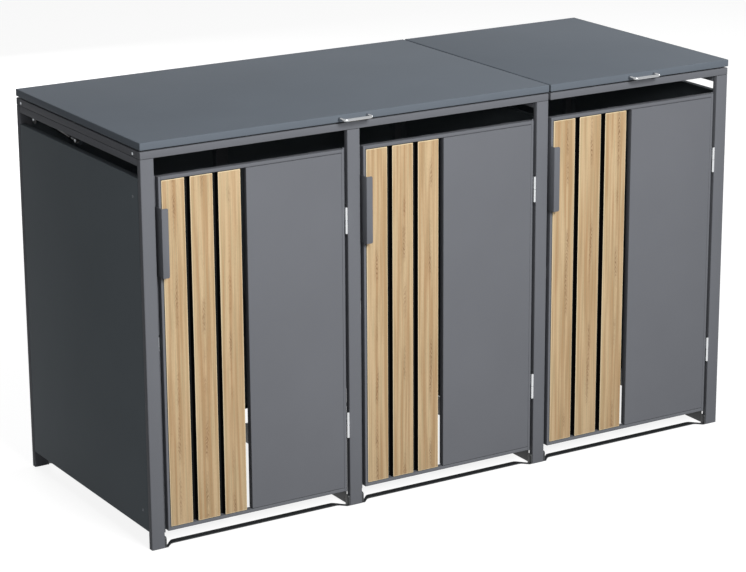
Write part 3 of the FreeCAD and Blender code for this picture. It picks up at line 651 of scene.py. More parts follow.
def plain(carrier: Object) -> Mesh:
    """Take an object with its modifiers as a plain mesh, and clear the object away.

    Args:
        carrier: The object.

    Returns:
        The mesh.
    """
    evaluated = carrier.evaluated_get(bpy.context.evaluated_depsgraph_get())
    made = bpy.data.meshes.new_from_object(evaluated)
    carrier.modifiers.clear()
    bpy.data.objects.remove(carrier)
    return made


def install(name: str, shape: Workpiece | Mesh, body: str, finish: Finish, *nodes: str) -> None:
    """Put a shape in the scene as a piece of the store, smooth but for its sharp edges.

    Args:
        name: The piece's name.
        shape: Its shape, in place.
        body: The body that it moves with.
        finish: Its finish.
        nodes: The frame's nodes that it stands for.
    """
    mesh = shape.mesh() if isinstance(shape, Workpiece) else shape
    mesh.name = name
    mesh.shade_smooth()
    mesh.set_sharp_from_angle(angle=SHARP_ANGLE)
    mesh.materials.clear()
    mesh.materials.append(finish.material())
    piece = placed(name, mesh)
    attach(piece, body)
    for node in nodes:
        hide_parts(node)
    LOG.info("%s: %d faces, rides on %s", name, len(mesh.polygons), body)


def keep_node(node: str, finish: Finish) -> None:
    """Give one of the frame's own nodes a finish.

    Args:
        node: The node's name.
        finish: Its finish.
    """
    carried = frame["nodes"][node]
    carried.data.materials.clear()
    carried.data.materials.append(finish.material())
    LOG.info("%s: carried over in %s", node, finish.name)


def solid_boxes(node: str) -> list[Box]:
    """Find the boxes of a node's separate solids.

    Args:
        node: The node's name.

    Returns:
        The lowest and highest corner of each solid, from left to right, then front to back.
    """
    bm = bmesh.new()
    bm.from_mesh(frame["nodes"][node].data)
    bmesh.ops.remove_doubles(bm, verts=bm.verts, dist=MERGE_DISTANCE)
    unseen = set(bm.verts)
    boxes = []
    while unseen:
        found: set[bmesh.types.BMVert] = set()
        reached = {unseen.pop()}
        while reached:
            found |= reached
            reached = {edge.other_vert(v) for v in reached for edge in v.link_edges} - found
        unseen -= found
        low, high = [Vector([pick(v.co[axis] for v in found) for axis in range(3)])
                     for pick in (min, max)]
        boxes.append((low, high))
    bm.free()
    return sorted(boxes, key=lambda box: tuple(round(c, 4) for c in box[0]))


@dataclass(frozen=True)
class Sheet:
    """Steel sheet that is folded to a box or an angle."""

    thick: float = 1.5
    fold: float = 2.0
    cut_ease: float = 0.35

    def box(self, low: Vector, high: Vector, *openings: Side, flange: float = 0.0) -> Mesh:
        """Fold a tray or a tube: a box that is open on one or more sides.

        Args:
            low: Its lowest corner.
            high: Its highest corner.
            openings: The open sides.
            flange: Width of a rim folded in along the open side, or 0 for none.

        Returns:
            The mesh.
        """
        bm = bmesh.new()
        bmesh.ops.create_cube(bm, size=1.0, matrix=box_matrix(low, high))
        for side in openings:
            mouth = max(bm.faces, key=lambda face: face.normal.dot(Vector(side.value)))
            if flange:
                bmesh.ops.inset_region(bm, faces=[mouth], thickness=flange * MM)
            bmesh.ops.delete(bm, geom=[mouth], context="FACES")
        return self.formed(bm)

    def angle(self, corners: Sequence[Vector], free_round: float = 0.0) -> Mesh:
        """Fold an angle of two flanges.

        Args:
            corners: Six corners: one edge, the fold and the other edge, each from start to end.
            free_round: Radius of the last flange's free corners.

        Returns:
            The mesh.
        """
        bm = bmesh.new()
        start, end, fold_start, fold_end, last_start, last_end = corners
        last = [fold_start, fold_end, last_end, last_start]
        spots = [bm.verts.new(spot) for spot in
                 (softened(last, (2, 3), free_round) if free_round else last)]
        bm.faces.new((bm.verts.new(start), bm.verts.new(end), spots[1], spots[0]))
        bm.faces.new(spots)
        return self.formed(bm)

    def formed(self, bm: bmesh.types.BMesh) -> Mesh:
        """Round the folds, give the sheet its thickness and ease its cut edges.

        Args:
            bm: The sheet's outer face.

        Returns:
            The formed mesh.
        """
        folds = [edge for edge in bm.edges
                 if len(edge.link_faces) == 2 and edge.calc_face_angle() > SHARP_ANGLE]
        bmesh.ops.bevel(bm, geom=folds, offset=self.fold * MM, segments=FOLD_SEGMENTS,
                        profile=0.5, affect="EDGES", clamp_overlap=True)
        mesh = bpy.data.meshes.new("sheet")
        bm.to_mesh(mesh)
        bm.free()
        worker = placed("sheet", mesh)
        wall = worker.modifiers.new("thickness", "SOLIDIFY")
        wall.thickness = self.thick * MM
        wall.offset = -1
        wall.use_even_offset = True
        ease = worker.modifiers.new("cut_edges", "BEVEL")
        ease.width = self.cut_ease * MM
        ease.segments = 2
        ease.limit_method = "ANGLE"
        ease.angle_limit = CUT_ANGLE
        return plain(worker)


def new_tree(name: str, inputs: dict[str, str]) -> tuple[Tree, Node]:
    """Start a geometry tree with named inputs.

    Args:
        name: The tree's name.
        inputs: The kind of each input, by name.

    Returns:
        The tree and the node that holds its inputs.
    """
    tree = bpy.data.node_groups.new(name, "GeometryNodeTree")
    for way in ("INPUT", "OUTPUT"):
        tree.interface.new_socket("Geometry", in_out=way, socket_type="NodeSocketGeometry")
    for label, kind in inputs.items():
        tree.interface.new_socket(label, in_out="INPUT", socket_type=f"NodeSocket{kind}")
    return tree, add_node(tree, "NodeGroupInput")


def end_tree(tree: Tree, shape: Node, finish: Finish) -> None:
    """End a tree: instances become mesh, and the mesh gets its finish.

    Args:
        tree: The tree.
        shape: Its last shaping node.
        finish: The finish.
    """
    real = add_node(tree, "GeometryNodeRealizeInstances", {"Geometry": shape})
    dressed = add_node(tree, "GeometryNodeSetMaterial",
                       {"Geometry": real, "Material": finish.material()})
    add_node(tree, "NodeGroupOutput", {"Geometry": dressed})


def row_tree(finish: Finish) -> Tree:
    """Tree that sets copies of one piece in a row, each with its own number and tone.

    Args:
        finish: The pieces' finish.

    Returns:
        The tree.
    """
    tree, given = new_tree("row_of_pieces", {"Count": "Int", "Start": "Vector", "Step": "Vector",
                                             "Seed": "Int"})
    here = add_node(tree, "GeometryNodeInputPosition")
    local = add_node(tree, "GeometryNodeStoreNamedAttribute",
                     {"Geometry": given.outputs["Geometry"], "Name": "plank", "Value": here},
                     data_type="FLOAT_VECTOR", domain="POINT")
    places = add_node(tree, "GeometryNodeMeshLine",
                      {"Count": given.outputs["Count"], "Start Location": given.outputs["Start"],
                       "Offset": given.outputs["Step"]}, mode="OFFSET")
    set_out = add_node(tree, "GeometryNodeInstanceOnPoints", {"Points": places, "Instance": local})
    number = add_node(tree, "GeometryNodeInputIndex")
    tone = add_node(tree, "FunctionNodeRandomValue",
                    {"Min": 0.0, "Max": 1.0, "ID": number, "Seed": given.outputs["Seed"]},
                    data_type="FLOAT")
    toned = add_node(tree, "GeometryNodeStoreNamedAttribute",
                     {"Geometry": set_out, "Name": "tone", "Value": tone.outputs[1]},
                     data_type="FLOAT", domain="INSTANCE")
    end_tree(tree, toned, finish)
    return tree


def bar_tree(finish: Finish) -> Tree:
    """Tree that draws a round bar along a bent path.

    Args:
        finish: The bar's finish.

    Returns:
        The tree.
    """
    tree, given = new_tree("bent_bar", {"Bend radius": "Float", "Bar radius": "Float",
                                        "Bend steps": "Int"})
    line = add_node(tree, "GeometryNodeMeshToCurve", {"Mesh": given.outputs["Geometry"]})
    bent = add_node(tree, "GeometryNodeFilletCurve",
                    {"Curve": line, "Count": given.outputs["Bend steps"],
                     "Radius": given.outputs["Bend radius"], "Limit Radius": True}, mode="POLY")
    upright = add_node(tree, "GeometryNodeSetCurveNormal", {"Curve": bent}, mode="Z_UP")
    section = add_node(tree, "GeometryNodeCurvePrimitiveCircle",
                       {"Resolution": BAR_SIDES, "Radius": given.outputs["Bar radius"]})
    swept = add_node(tree, "GeometryNodeCurveToMesh",
                     {"Curve": upright, "Profile Curve": section, "Fill Caps": True})
    end_tree(tree, swept, finish)
    return tree


def grow(mesh: Mesh, tree: Tree, values: dict[str, Any]) -> Mesh:
    """Run a geometry tree on a mesh and take the result as a plain mesh.

    Args:
        mesh: What the tree starts from.
        tree: The tree.
        values: What each named input holds.

    Returns:
        The plain mesh.
    """
    carrier = placed("grown", mesh)
    modifier = carrier.modifiers.new("grown", "NODES")
    modifier.node_group = tree
    for item in tree.interface.items_tree:
        if item.in_out == "INPUT" and item.name in values:
            modifier[item.identifier] = values[item.name]
    return plain(carrier)


@dataclass
class SteelFrame:
    """Posts, walls and the rails under the lids."""

    post_wall: float = 2.0
    post_round: float = 2.5
    reveal: float = 0.6
    strip_ease: float = 0.3

    def build(self) -> None:
        """Make every standing piece of folded steel."""
        for place in ("left", "middle", "shared", "right"):
            node = f"front_post_{place}"
            self.tubes(f"{node}_tube", node, [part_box(node)])
        self.tubes("rear_post_tubes", "rear_posts", solid_boxes("rear_posts"))
        for wall, opening in (("left", Side.RIGHT), ("shared", Side.LEFT), ("right", Side.LEFT)):
            self.sheet_piece(f"side_panel_{wall}", opening, WALL_COAT, "yz")
            self.sheet_piece(f"slot_rail_{wall}", Side.UP, FRAME_COAT, "yz")
        for place in ("left", "middle", "right"):
            self.sheet_piece(f"back_panel_{place}", Side.FRONT, WALL_COAT, "xz")
        strips = Workpiece()
        for box in solid_boxes("door_gap_strips"):
            strips.block(*box, self.strip_ease)
        install("gap_strips", strips, "root", FRAME_COAT, "door_gap_strips")
        for place in ("front_rail_double", "rear_rail_double", "front_rail_single",
                      "rear_rail_single"):
            self.sheet_piece(place, Side.DOWN, FRAME_COAT, "z")
        for place in ("left", "double_right", "single_left", "right"):
            self.sheet_piece(f"side_rail_{place}", Side.DOWN, FRAME_COAT, "yz")

    def tubes(self, name: str, node: str, boxes: Iterable[Box]) -> None:
        """Make upright open tubes, a little short of what they carry.

        Args:
            name: The piece's name.
            node: The node that it stands for.
            boxes: The tubes' boxes.
        """
        tubing, joint = Sheet(self.post_wall, self.post_round), self.reveal * MM * Z_AXIS
        tubes = [tubing.box(low, high - joint, Side.DOWN, Side.UP) for low, high in boxes]
        install(name, Workpiece().join(tubes), "root", FRAME_COAT, node)

    def sheet_piece(self, node: str, opening: Side, finish: Finish, joints: str) -> None:
        """Fold one panel or rail, a little short of its neighbours at every joint.

        Args:
            node: The node that it stands for.
            opening: The way that its open side faces.
            finish: Its finish.
            joints: The axes along which it meets its neighbours.
        """
        low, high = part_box(node)
        joint = Vector([self.reveal * MM * (axis in joints) for axis in "xyz"])
        install(f"{node}_sheet", Sheet().box(low + joint, high - joint, opening), "root", finish, node)


@dataclass
class GroundWork:
    """Flat bars across each bay and the guides that the bins roll along."""

    bar_wide: float = 24
    bar_tip: float = 4
    bar_hold: float = 8
    bar_turn: float = 34
    bar_ease: float = 0.6
    bend: float = 20
    tab_round: float = 7
    guide_thick: float = 2
    guide_fold: float = 3

    def build(self) -> None:
        """Make the floor bars with their tabs, and the guides."""
        work = Workpiece()
        for low, high in solid_boxes("floor_bars"):
            if high.x - low.x > high.y - low.y:
                work.plate(self.bar(low, high), (high.z - low.z) * Z_AXIS, self.bar_ease)
            else:
                work.plate(self.tab(low, high), (high.x - low.x) * X_AXIS, self.bar_ease)
        install("floor_bar_set", work, "root", BLACK_COAT, "floor_bars")
        guides, sheet = Workpiece(), Sheet(self.guide_thick, self.guide_fold)
        for low, high in solid_boxes("guide_rails"):
            section = ((low.x, high.z), (low.x, low.z), (high.x, low.z))
            corners = [Vector((x, y, z)) for x, z in section for y in (low.y, high.y)]
            guides.join([sheet.angle(corners)])
        install("bin_guides", guides, "root", BLACK_COAT, "guide_rails")

    def bar(self, low: Vector, high: Vector) -> list[Vector]:
        """Plan of a flat bar that bends towards its posts, with narrow tips.

        Args:
            low: The bar's lowest corner.
            high: Its highest corner.

        Returns:
            The plan's points.
        """
        deep, tip = high.y - low.y, self.bar_tip * MM
        slant = deep - self.bar_wide * MM
        end_y, way = (low.y, 1) if low.y < 0 else (high.y, -1)
        half = ((self.bar_turn * MM, deep), (0, self.bar_hold * MM), (0, 0), (tip, 0),
                (tip + slant, slant))
        left = [Vector((low.x + inset, end_y + way * back, low.z)) for inset, back in half]
        right = [Vector((high.x - inset, end_y + way * back, low.z)) for inset, back in half[::-1]]
        return softened(left + right, (0, 4, 5, 9), self.bend)

    def tab(self, low: Vector, high: Vector) -> list[Vector]:
        """Side view of an upright tab that screws to a post, with rounded upper corners."""
        corners = ((high.y, low.z), (low.y, low.z), (low.y, high.z), (high.y, high.z))
        return softened([Vector((low.x, y, z)) for y, z in corners], (2, 3), self.tab_round)


@dataclass
class Fasteners:
    """Screws of the outer walls, bolts that link the two units, and rubber pads under the lids."""

    head_radius: float = 4.0
    socket_radius: float = 1.7
    shank_radius: float = 2.0
    screw_seed: int = 3
    near_wall: float = 2
    clear_of_walls: float = 100
    spacer_long: float = 15
    pad_radius: float = 5.0

    def build(self) -> None:
        """Make the screws, the link bolts and the pads."""
        boxes = solid_boxes("frame_fasteners")
        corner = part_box("side_rail_left")[0]
        left, right = corner.x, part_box("side_rail_right")[1].x
        for name, finish, high in (("rail_screws", ZINC, True), ("panel_screws", DULL_ZINC, False)):
            tree, work = row_tree(finish), Workpiece()
            for face, inward in ((left, X_AXIS), (right, -X_AXIS)):
                pair = [box for box in boxes if (box[0].z > corner.z) == high
                        and min(abs(end.x - face) for end in box) < self.near_wall * MM]
                work.join([self.screws(tree, pair, face, inward)])
            install(name, work, "root", finish, *(["frame_fasteners"] if high else ()))
        clear = self.clear_of_walls * MM
        self.link_bolts([box for box in boxes if left + clear < box[0].x and box[1].x < right - clear])
        self.pads()

    def screws(self, tree: Tree, boxes: Sequence[Box], face: float, inward: Vector) -> Mesh:
        """Two screws of one panel or rail: a low pan head with a socket, on its shank.

        Args:
            tree: The tree that sets pieces in a row.
            boxes: The two screws' boxes.
            face: Where the wall's outer face is.
            inward: The way the screws point.

        Returns:
            The two screws' mesh.
        """
        head, socket, shank = self.head_radius, self.socket_radius, self.shank_radius
        profile = ((-0.2, 0), (-0.2, socket), (-0.95, socket), (-1.0, socket + 0.2),
                   (-0.95, head - 1.2), (-0.7, head - 0.5), (-0.3, head - 0.08), (0, head),
                   (0, shank), (8, shank), (9, shank - 0.9), (9, 0))
        screw = Workpiece().turned(Vector(), inward, profile, 24).mesh()
        near, far = [(low + high) / 2 for low, high in boxes]
        return grow(screw, tree, {"Count": 2, "Start": Vector((face, near.y, near.z)),
                                  "Step": Vector((0, far.y - near.y, far.z - near.z)),
                                  "Seed": self.screw_seed})

    def link_bolts(self, boxes: Iterable[Box]) -> None:
        """Bolts with nuts, and spacers, between the double unit and the single one.

        Args:
            boxes: The boxes of bolts and spacers.
        """
        work = Workpiece()
        for low, high in boxes:
            start, long = left_end(low, high)
            if long > self.spacer_long:
                work.turned(start, X_AXIS, (
                    (0, 0), (0, 5.5), (0.6, 6.4), (4.6, 6.4), (5, 6), (5, 4), (long - 6.5, 4),
                    (long - 6.5, 6), (long - 6, 6.4), (long - 2, 6.4), (long - 1.5, 5.5),
                    (long - 1.5, 4), (long - 0.6, 4), (long, 3.2), (long, 0)), 6)
            else:
                work.turned(start, X_AXIS, bar_steps(0, long, (high.z - low.z) / 2 / MM, 0.4, 4.2), 28)
        install("link_bolts", work, "root", ZINC)

    def pads(self) -> None:
        """Domed rubber pads on the rails."""
        work, radius = Workpiece(), self.pad_radius
        for low, high in solid_boxes("lid_buffers"):
            middle, rise = (low + high) / 2, (high.z - low.z) / MM
            work.turned(Vector((middle.x, middle.y, low.z)), Z_AXIS,
                        ((0, 0), (0, radius), (rise - 1.2, radius), (rise - 0.5, radius - 0.9),
                         (rise - 0.1, radius - 2.6), (rise, 0)), 24)
        install("lid_pads", work, "root", RUBBER, "lid_buffers")


@dataclass
class LidHinges:
    """Butt hinges with three knuckles, between the lids and the frame."""

    pin_radius: float = 2.5
    leaf_thick: float = 2
    knuckle_radius: float = 5
    knuckle_bore: float = 2.6
    knuckle_long: float = 25
    knuckle_gap: float = 0.4
    plate_from_axis: float = 5.5
    neck_from_axis: tuple[float, float] = (3, 6)
    rivet_places: tuple[float, ...] = (0.16, 0.5, 0.84)

    def build(self) -> None:
        """Make the frame's leaves and the pins."""
        self.leaves("frame_leaves", "lid_hinge_frame_leaves", "root", FRAME_COAT, -1)
        work = Workpiece()
        for box in solid_boxes("lid_hinge_pins"):
            start, long = left_end(*box)
            work.turned(start, X_AXIS, bar_steps(0, long, self.pin_radius, 0.8), 20)
        install("lid_pins", work, "root", BRIGHT_STEEL, "lid_hinge_pins")

    def leaves(self, name: str, node: str, body: str, finish: Finish, way: int) -> None:
        """Make the leaves of a lid or of the frame, riveted on.

        Args:
            name: The piece's name.
            node: The leaves' node.
            body: The body that they move with.
            finish: Their finish.
            way: 1 for leaves above the pin, with the middle knuckle, or -1 for those below.
        """
        axis_low, axis_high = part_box("lid_hinge_pins")
        axis = (axis_low + axis_high) / 2
        work = Workpiece()
        for low, high in solid_boxes(node):
            plate_y = low.y + self.leaf_thick * MM
            end_z = high.z if way > 0 else low.z
            plate_z = sorted((axis.z + way * self.plate_from_axis * MM, end_z))
            neck_z = sorted(axis.z + way * away * MM for away in self.neck_from_axis)
            inset = (self.knuckle_long + self.knuckle_gap) * MM
            spans = [(low.x + inset, high.x - inset)] if way > 0 else [
                (low.x, low.x + self.knuckle_long * MM), (high.x - self.knuckle_long * MM, high.x)]
            work.block(Vector((low.x, low.y, plate_z[0])), Vector((high.x, plate_y, plate_z[1])), 0.5)
            for start, stop in spans:
                work.block(Vector((start, low.y, neck_z[0])), Vector((stop, plate_y, neck_z[1])), 0.3)
                work.turned(Vector((start, axis.y, axis.z)), X_AXIS,
                            bar_steps(0, (stop - start) / MM, self.knuckle_radius, 0.4,
                                      self.knuckle_bore), 28)
            for share in self.rivet_places:
                spot = Vector((low.x + share * (high.x - low.x), plate_y - 0.2 * MM, sum(plate_z) / 2))
                work.turned(spot, Y_AXIS, ((0, 0), (0, 3.4), (0.5, 3.2), (1.1, 2.2), (1.4, 0)), 20)
        install(name, work, body, finish, node)


@dataclass
class Lid:
    """A folded lid with its bow handle, hinge leaves and strut brackets."""

    unit: str
    flange: float = 18
    fold: float = 2.6
    lip: float = 0.8
    bow_thick: float = 9
    bow_bend: float = 9
    bow_steps: int = 8

    def build(self) -> None:
        """Make everything that lifts with the lid."""
        body = f"lid_{self.unit}"
        low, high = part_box(f"{body}_tray")
        sheet = Sheet(fold=self.fold).box(low + self.lip * MM * Z_AXIS, high, Side.DOWN,
                                          flange=self.flange)
        install(f"{body}_sheet", sheet, body, LID_COAT, f"{body}_tray")
        self.bow(body, low.y)
        LidHinges().leaves(f"{body}_leaves", f"{body}_hinge_leaves", body, LID_COAT, 1)
        keep_node(f"{body}_strut_brackets", LID_COAT)

    def bow(self, body: str, rim: float) -> None:
        """Round bar, bent twice, with its legs on the lid's front rim.

        Args:
            body: The lid's body.
            rim: Where the rim is, from front to back.
        """
        node = f"{body}_handle"
        low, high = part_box(node)
        half = self.bow_thick / 2 * MM
        left, right, front, height = low.x + half, high.x - half, low.y + half, (low.z + high.z) / 2
        stops = ((left, rim), (left, front), (right, front), (right, rim))
        path = bpy.data.meshes.new("path")
        path.from_pydata([Vector((x, y, height)) for x, y in stops], [(0, 1), (1, 2), (2, 3)], [])
        bar = grow(path, bar_tree(SATIN_STEEL), {"Bend radius": self.bow_bend * MM, "Bar radius": half,
                                                 "Bend steps": self.bow_steps})
        install(f"{node}_bow", bar, body, SATIN_STEEL, node)


@dataclass
class GasStrut:
    """Gas strut between a wall and a lid."""

    wall: str
    tube_radius: float = 7.5
    tube_start: float = 12
    tube_stop: float = 205
    rod_radius: float = 4
    rod_start: float = 38
    rod_short: float = 5
    neck_start: float = 4
    neck_radius: float = 5
    cup_radius: float = 7.2
    cup_back: float = 7
    stud_radius: float = 5.8

    def build(self) -> None:
        """Make the tube with its cup, and the rod with the other."""
        name, case, stem = f"strut_{self.wall}", f"{self.wall}_strut_case", f"{self.wall}_strut_stem"
        joints = {joint["name"]: joint for joint in frame["joints"]}
        pivot = Vector(joints[f"{self.wall}_strut_tilt"]["pos_m"])
        way = Vector(joints[f"{self.wall}_strut_slide"]["axis"]).normalized()
        low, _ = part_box(f"{name}_rod")
        far = Vector((pivot.x, low.y + self.cup_radius * MM, low.z + self.cup_radius * MM))
        radius, start, stop = self.tube_radius, self.tube_start, self.tube_stop
        tube = Workpiece().turned(pivot, way, (
            (start, 0), (start, radius - 2.6), (start + 1.0, radius - 1.0), (start + 3.0, radius),
            (stop - 12, radius), (stop - 11, radius - 0.7), (stop - 9.5, radius - 0.7),
            (stop - 8.5, radius), (stop - 2.2, radius), (stop - 0.6, radius - 0.9),
            (stop, radius - 2.2), (stop, self.rod_radius + 0.3), (stop - 4, self.rod_radius + 0.3),
            (stop - 4, 0)), 36)
        install(f"{name}_case", tube, case, TUBE_PAINT, f"{name}_tube")
        end = (far - pivot).length / MM - self.rod_short
        rod = Workpiece().turned(pivot, way, bar_steps(self.rod_start, end, self.rod_radius), 28)
        install(f"{name}_stem", rod, stem, ROD_STEEL, f"{name}_rod")
        inward = X_AXIS if self.wall == "left" else -X_AXIS
        self.cup(f"{name}_wall_cup", pivot, way, inward, case)
        self.cup(f"{name}_lid_cup", far, -way, -inward, stem)

    def cup(self, name: str, end: Vector, way: Vector, side: Vector, body: str) -> None:
        """Nylon socket on a ball stud, with the groove for its clip and the stud's domed end.

        Args:
            name: The piece's name.
            end: The stud's middle.
            way: The way from the stud to the strut.
            side: The way that the stud's end faces.
            body: The body that it moves with.
        """
        radius, stud, back = self.cup_radius, self.stud_radius, end - side * self.cup_back * MM
        cup = Workpiece().turned(back, side, (
            (0, 0), (0, radius - 1.2), (1.2, radius), (8.2, radius), (8.6, radius - 0.5),
            (9.6, radius - 0.5), (10, radius), (10.8, radius), (11.6, radius - 0.9), (11.6, 0)), 32)
        cup.turned(end, way, bar_steps(self.neck_start, self.tube_start, self.neck_radius), 28)
        install(name, cup, body, NYLON)
        dome = ((11, 0), (11, stud), (11.8, stud), (12.7, stud * 0.88), (13.4, stud * 0.66),
                (13.8, stud * 0.36), (14, 0))
        install(f"{name}_stud", Workpiece().turned(back, side, dome, 24), body, PALE_ZINC)


@dataclass(frozen=True)
class DoorHinges:
    """Weld-on hinges: turned barrels, one on the other, each with a tongue."""

    radius: float = 4.5
    long: float = 40
    washer_radius: float = 2.4
    tongue_thick: float = 1
    tongue_short: float = 1

    def halves(self, node: str, body: str, on_door: bool) -> None:
        """Make a node's hinge halves.

        Args:
            node: The halves' node.
            body: The body that they move with.
            on_door: True for the upper halves, whose tongues point left and which have no washers.
        """
        work, radius, top = Workpiece(), self.radius * MM, self.long * MM
        for low, high in solid_boxes(node):
            foot = Vector((high.x - radius if on_door else low.x + radius, low.y + radius, low.z))
            work.turned(foot, Z_AXIS, bar_steps(0, self.long, self.radius, 0.6), 28)
            if not on_door:
                work.turned(foot + top * Z_AXIS, Z_AXIS, bar_steps(-1, 0.4, self.washer_radius), 20)
            near, far = (low.x, foot.x) if on_door else (foot.x, high.x)
            short = self.tongue_short * MM
            work.block(Vector((near, high.y - self.tongue_thick * MM, low.z + short)),
                       Vector((far, high.y, low.z + top - short)), 0.2)
        install(f"{node}_turned", work, body, BRIGHT_STEEL, node)


@dataclass
class Door:
    """A door: a frame of thin folded bars round three boards and a steel panel."""

    number: int
    board_wide: float = 72
    board_gap: float = 17.5
    board_count: int = 3
    board_round: float = 1.4
    back_ease: float = 0.3
    plate_ease: float = 0.4
    stile_wide: float = 8
    cross_wide: float = 10
    fold: float = 1.2
    pull_thick: float = 2
    pull_fold: float = 3
    pull_round: float = 5

    @property
    def body(self) -> str:
        """The body that everything here moves with."""
        return f"door_{self.number}"

    def build(self) -> None:
        """Make everything that swings with the door."""
        self.bars()
        self.boards()
        # Flat black strips behind the gaps between the boards: painted shade of the inside seen
        # through the gaps.
        backs, strips = f"{self.body}_slat_backs", Workpiece()
        for box in solid_boxes(backs):
            strips.block(*box, self.back_ease)
        install(f"{backs}_strips", strips, self.body, GAP_SHADE_BLACK, backs)
        panel = f"{self.body}_panel"
        sheet = Sheet(fold=self.fold).box(*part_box(panel), Side.BACK)
        install(f"{panel}_sheet", sheet, self.body, DOOR_COAT, panel)
        self.pull()
        DoorHinges().halves(f"{self.body}_hinge_barrels", self.body, on_door=True)

    def bars(self) -> None:
        """Stiles and cross bars, with the plates that the boards and the panel are screwed to."""
        node = f"{self.body}_frame"
        plates = solid_boxes(node)
        low, high = max(plates, key=lambda box: box[1].z - box[0].z)
        plates.remove((low, high))
        left, right = low.x + self.stile_wide * MM, high.x - self.stile_wide * MM
        cross = self.cross_wide * MM
        spans = ((low.x, low.z, left, high.z), (right, low.z, high.x, high.z),
                 (left, low.z, right, low.z + cross), (left, high.z - cross, right, high.z))
        sheet = Sheet(fold=self.fold)
        bars = [sheet.box(Vector((x, low.y, z)), Vector((far_x, high.y, far_z)), Side.BACK)
                for x, z, far_x, far_z in spans]
        work = Workpiece().join(bars)
        for box in plates:
            work.block(*box, self.plate_ease)
        install(f"{node}_bars", work, self.body, DOOR_COAT, node)

    def boards(self) -> None:
        """Upright boards, each with its own grain."""
        node = f"{self.body}_slats"
        low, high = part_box(node)
        finish = OakDecor(f"oak_decor_laminate_{self.board_wide:.0f}", Slot.BOARDS,
                          board_wide=self.board_wide, board_long=(high.z - low.z) / MM)
        half = Vector((self.board_wide / 2 * MM, 0, (high.z - low.z) / 2))
        back = Vector((half.x, high.y - low.y, half.z))
        board = Workpiece().block(-half, back, self.board_round, 3).mesh()
        start = Vector((low.x + half.x, low.y, (low.z + high.z) / 2))
        step = (self.board_wide + self.board_gap) * MM * X_AXIS
        mesh = grow(board, row_tree(finish), {"Count": self.board_count, "Start": start,
                                              "Step": step, "Seed": self.number})
        install(f"{node}_boards", mesh, self.body, finish, node)

    def pull(self) -> None:
        """Bent plate on the free edge, which the fingers reach behind."""
        node = f"{self.body}_handle"
        low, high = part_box(node)
        section = ((low.x, high.y), (low.x, low.y), (high.x, low.y))
        corners = [Vector((x, y, z)) for x, y in section for z in (low.z, high.z)]
        plate = Sheet(self.pull_thick, self.pull_fold).angle(corners, self.pull_round)
        install(f"{node}_plate", plate, self.body, FRAME_COAT, node)


@dataclass
class PostFittings:
    """What the doors hang on and close against, and what the gas struts stand on."""

    case_wide: float = 30
    case_deep: float = 14
    pole_places: tuple[float, ...] = (0.36, 0.64)
    pole_half: float = 0.9
    pole_deep: float = 4
    pole_short: float = 5
    case_back: float = 0.8
    tab_thick: float = 2
    tab_reach: float = 2
    lug_radius: float = 14
    lug_thick: float = 3
    foot_wide: float = 9
    head_high: float = 4
    stud_radius: float = 4
    stud_long: float = 17.3

    def build(self) -> None:
        """Make the posts' halves of the door hinges, the magnetic catches and the struts' lugs."""
        DoorHinges().halves("door_hinge_pintles", "root", on_door=False)
        self.catches()
        self.lugs()

    def catches(self) -> None:
        """Magnetic catches: a case with two pole plates, on a tab."""
        cases, plates = Workpiece(), Workpiece()
        for low, high in solid_boxes("door_catches"):
            case_y, inset = high.y - self.case_deep * MM, self.pole_short * MM
            cases.block(Vector((low.x, case_y + self.case_back * MM, low.z)), high, 1.2, 3)
            for share in self.pole_places:
                x, half = low.x + share * self.case_wide * MM, self.pole_half * MM
                far_y = case_y + self.pole_deep * MM
                plates.block(Vector((x - half, case_y, low.z + inset)),
                             Vector((x + half, far_y, high.z - inset)), 0.2)
            tab = Vector((low.x + self.tab_thick * MM, case_y + self.tab_reach * MM, high.z))
            plates.block(low, tab, 0.4)
        install("catch_cases", cases, "root", NYLON, "door_catches")
        install("catch_plates", plates, "root", ZINC)

    def lugs(self) -> None:
        """Lugs under the slot rails, bolted, that carry the lower ends of the gas struts."""
        node = "strut_wall_brackets"
        plates, bolts = Workpiece(), Workpiece()
        for (low, high), way in zip(solid_boxes(node), (1, -1, -1)):
            along = way * MM * X_AXIS
            head = Vector((low.x if way > 0 else high.x, (low.y + high.y) / 2,
                           low.z + self.lug_radius * MM))
            bolts.turned(head, along, ((0, 0), (0, 1.9), (0.5, 3.4), (1.4, 4.2), (3.7, 4.5),
                                       (4, 4.3), (4, 0)), 24)
            face = head + along * self.head_high
            corners = ((low.y, high.z), (low.y, low.z), (high.y, low.z), (high.y, high.z))
            side = [Vector((face.x, y, z)) for y, z in corners]
            plates.plate(softened(side, (1, 2), self.lug_radius - 0.1), along * self.lug_thick, 0.4)
            foot = sorted((face.x, face.x + along.x * (self.lug_thick + self.foot_wide)))
            plates.block(Vector((foot[0], low.y, high.z - self.lug_thick * MM)),
                         Vector((foot[1], high.y, high.z)), 0.4)
            plates.turned(face, along, bar_steps(2, 3 + self.stud_long, self.stud_radius), 24)
        install("wall_lugs", plates, "root", BLACK_COAT, node)
        install("lug_bolts", bolts, "root", ZINC)


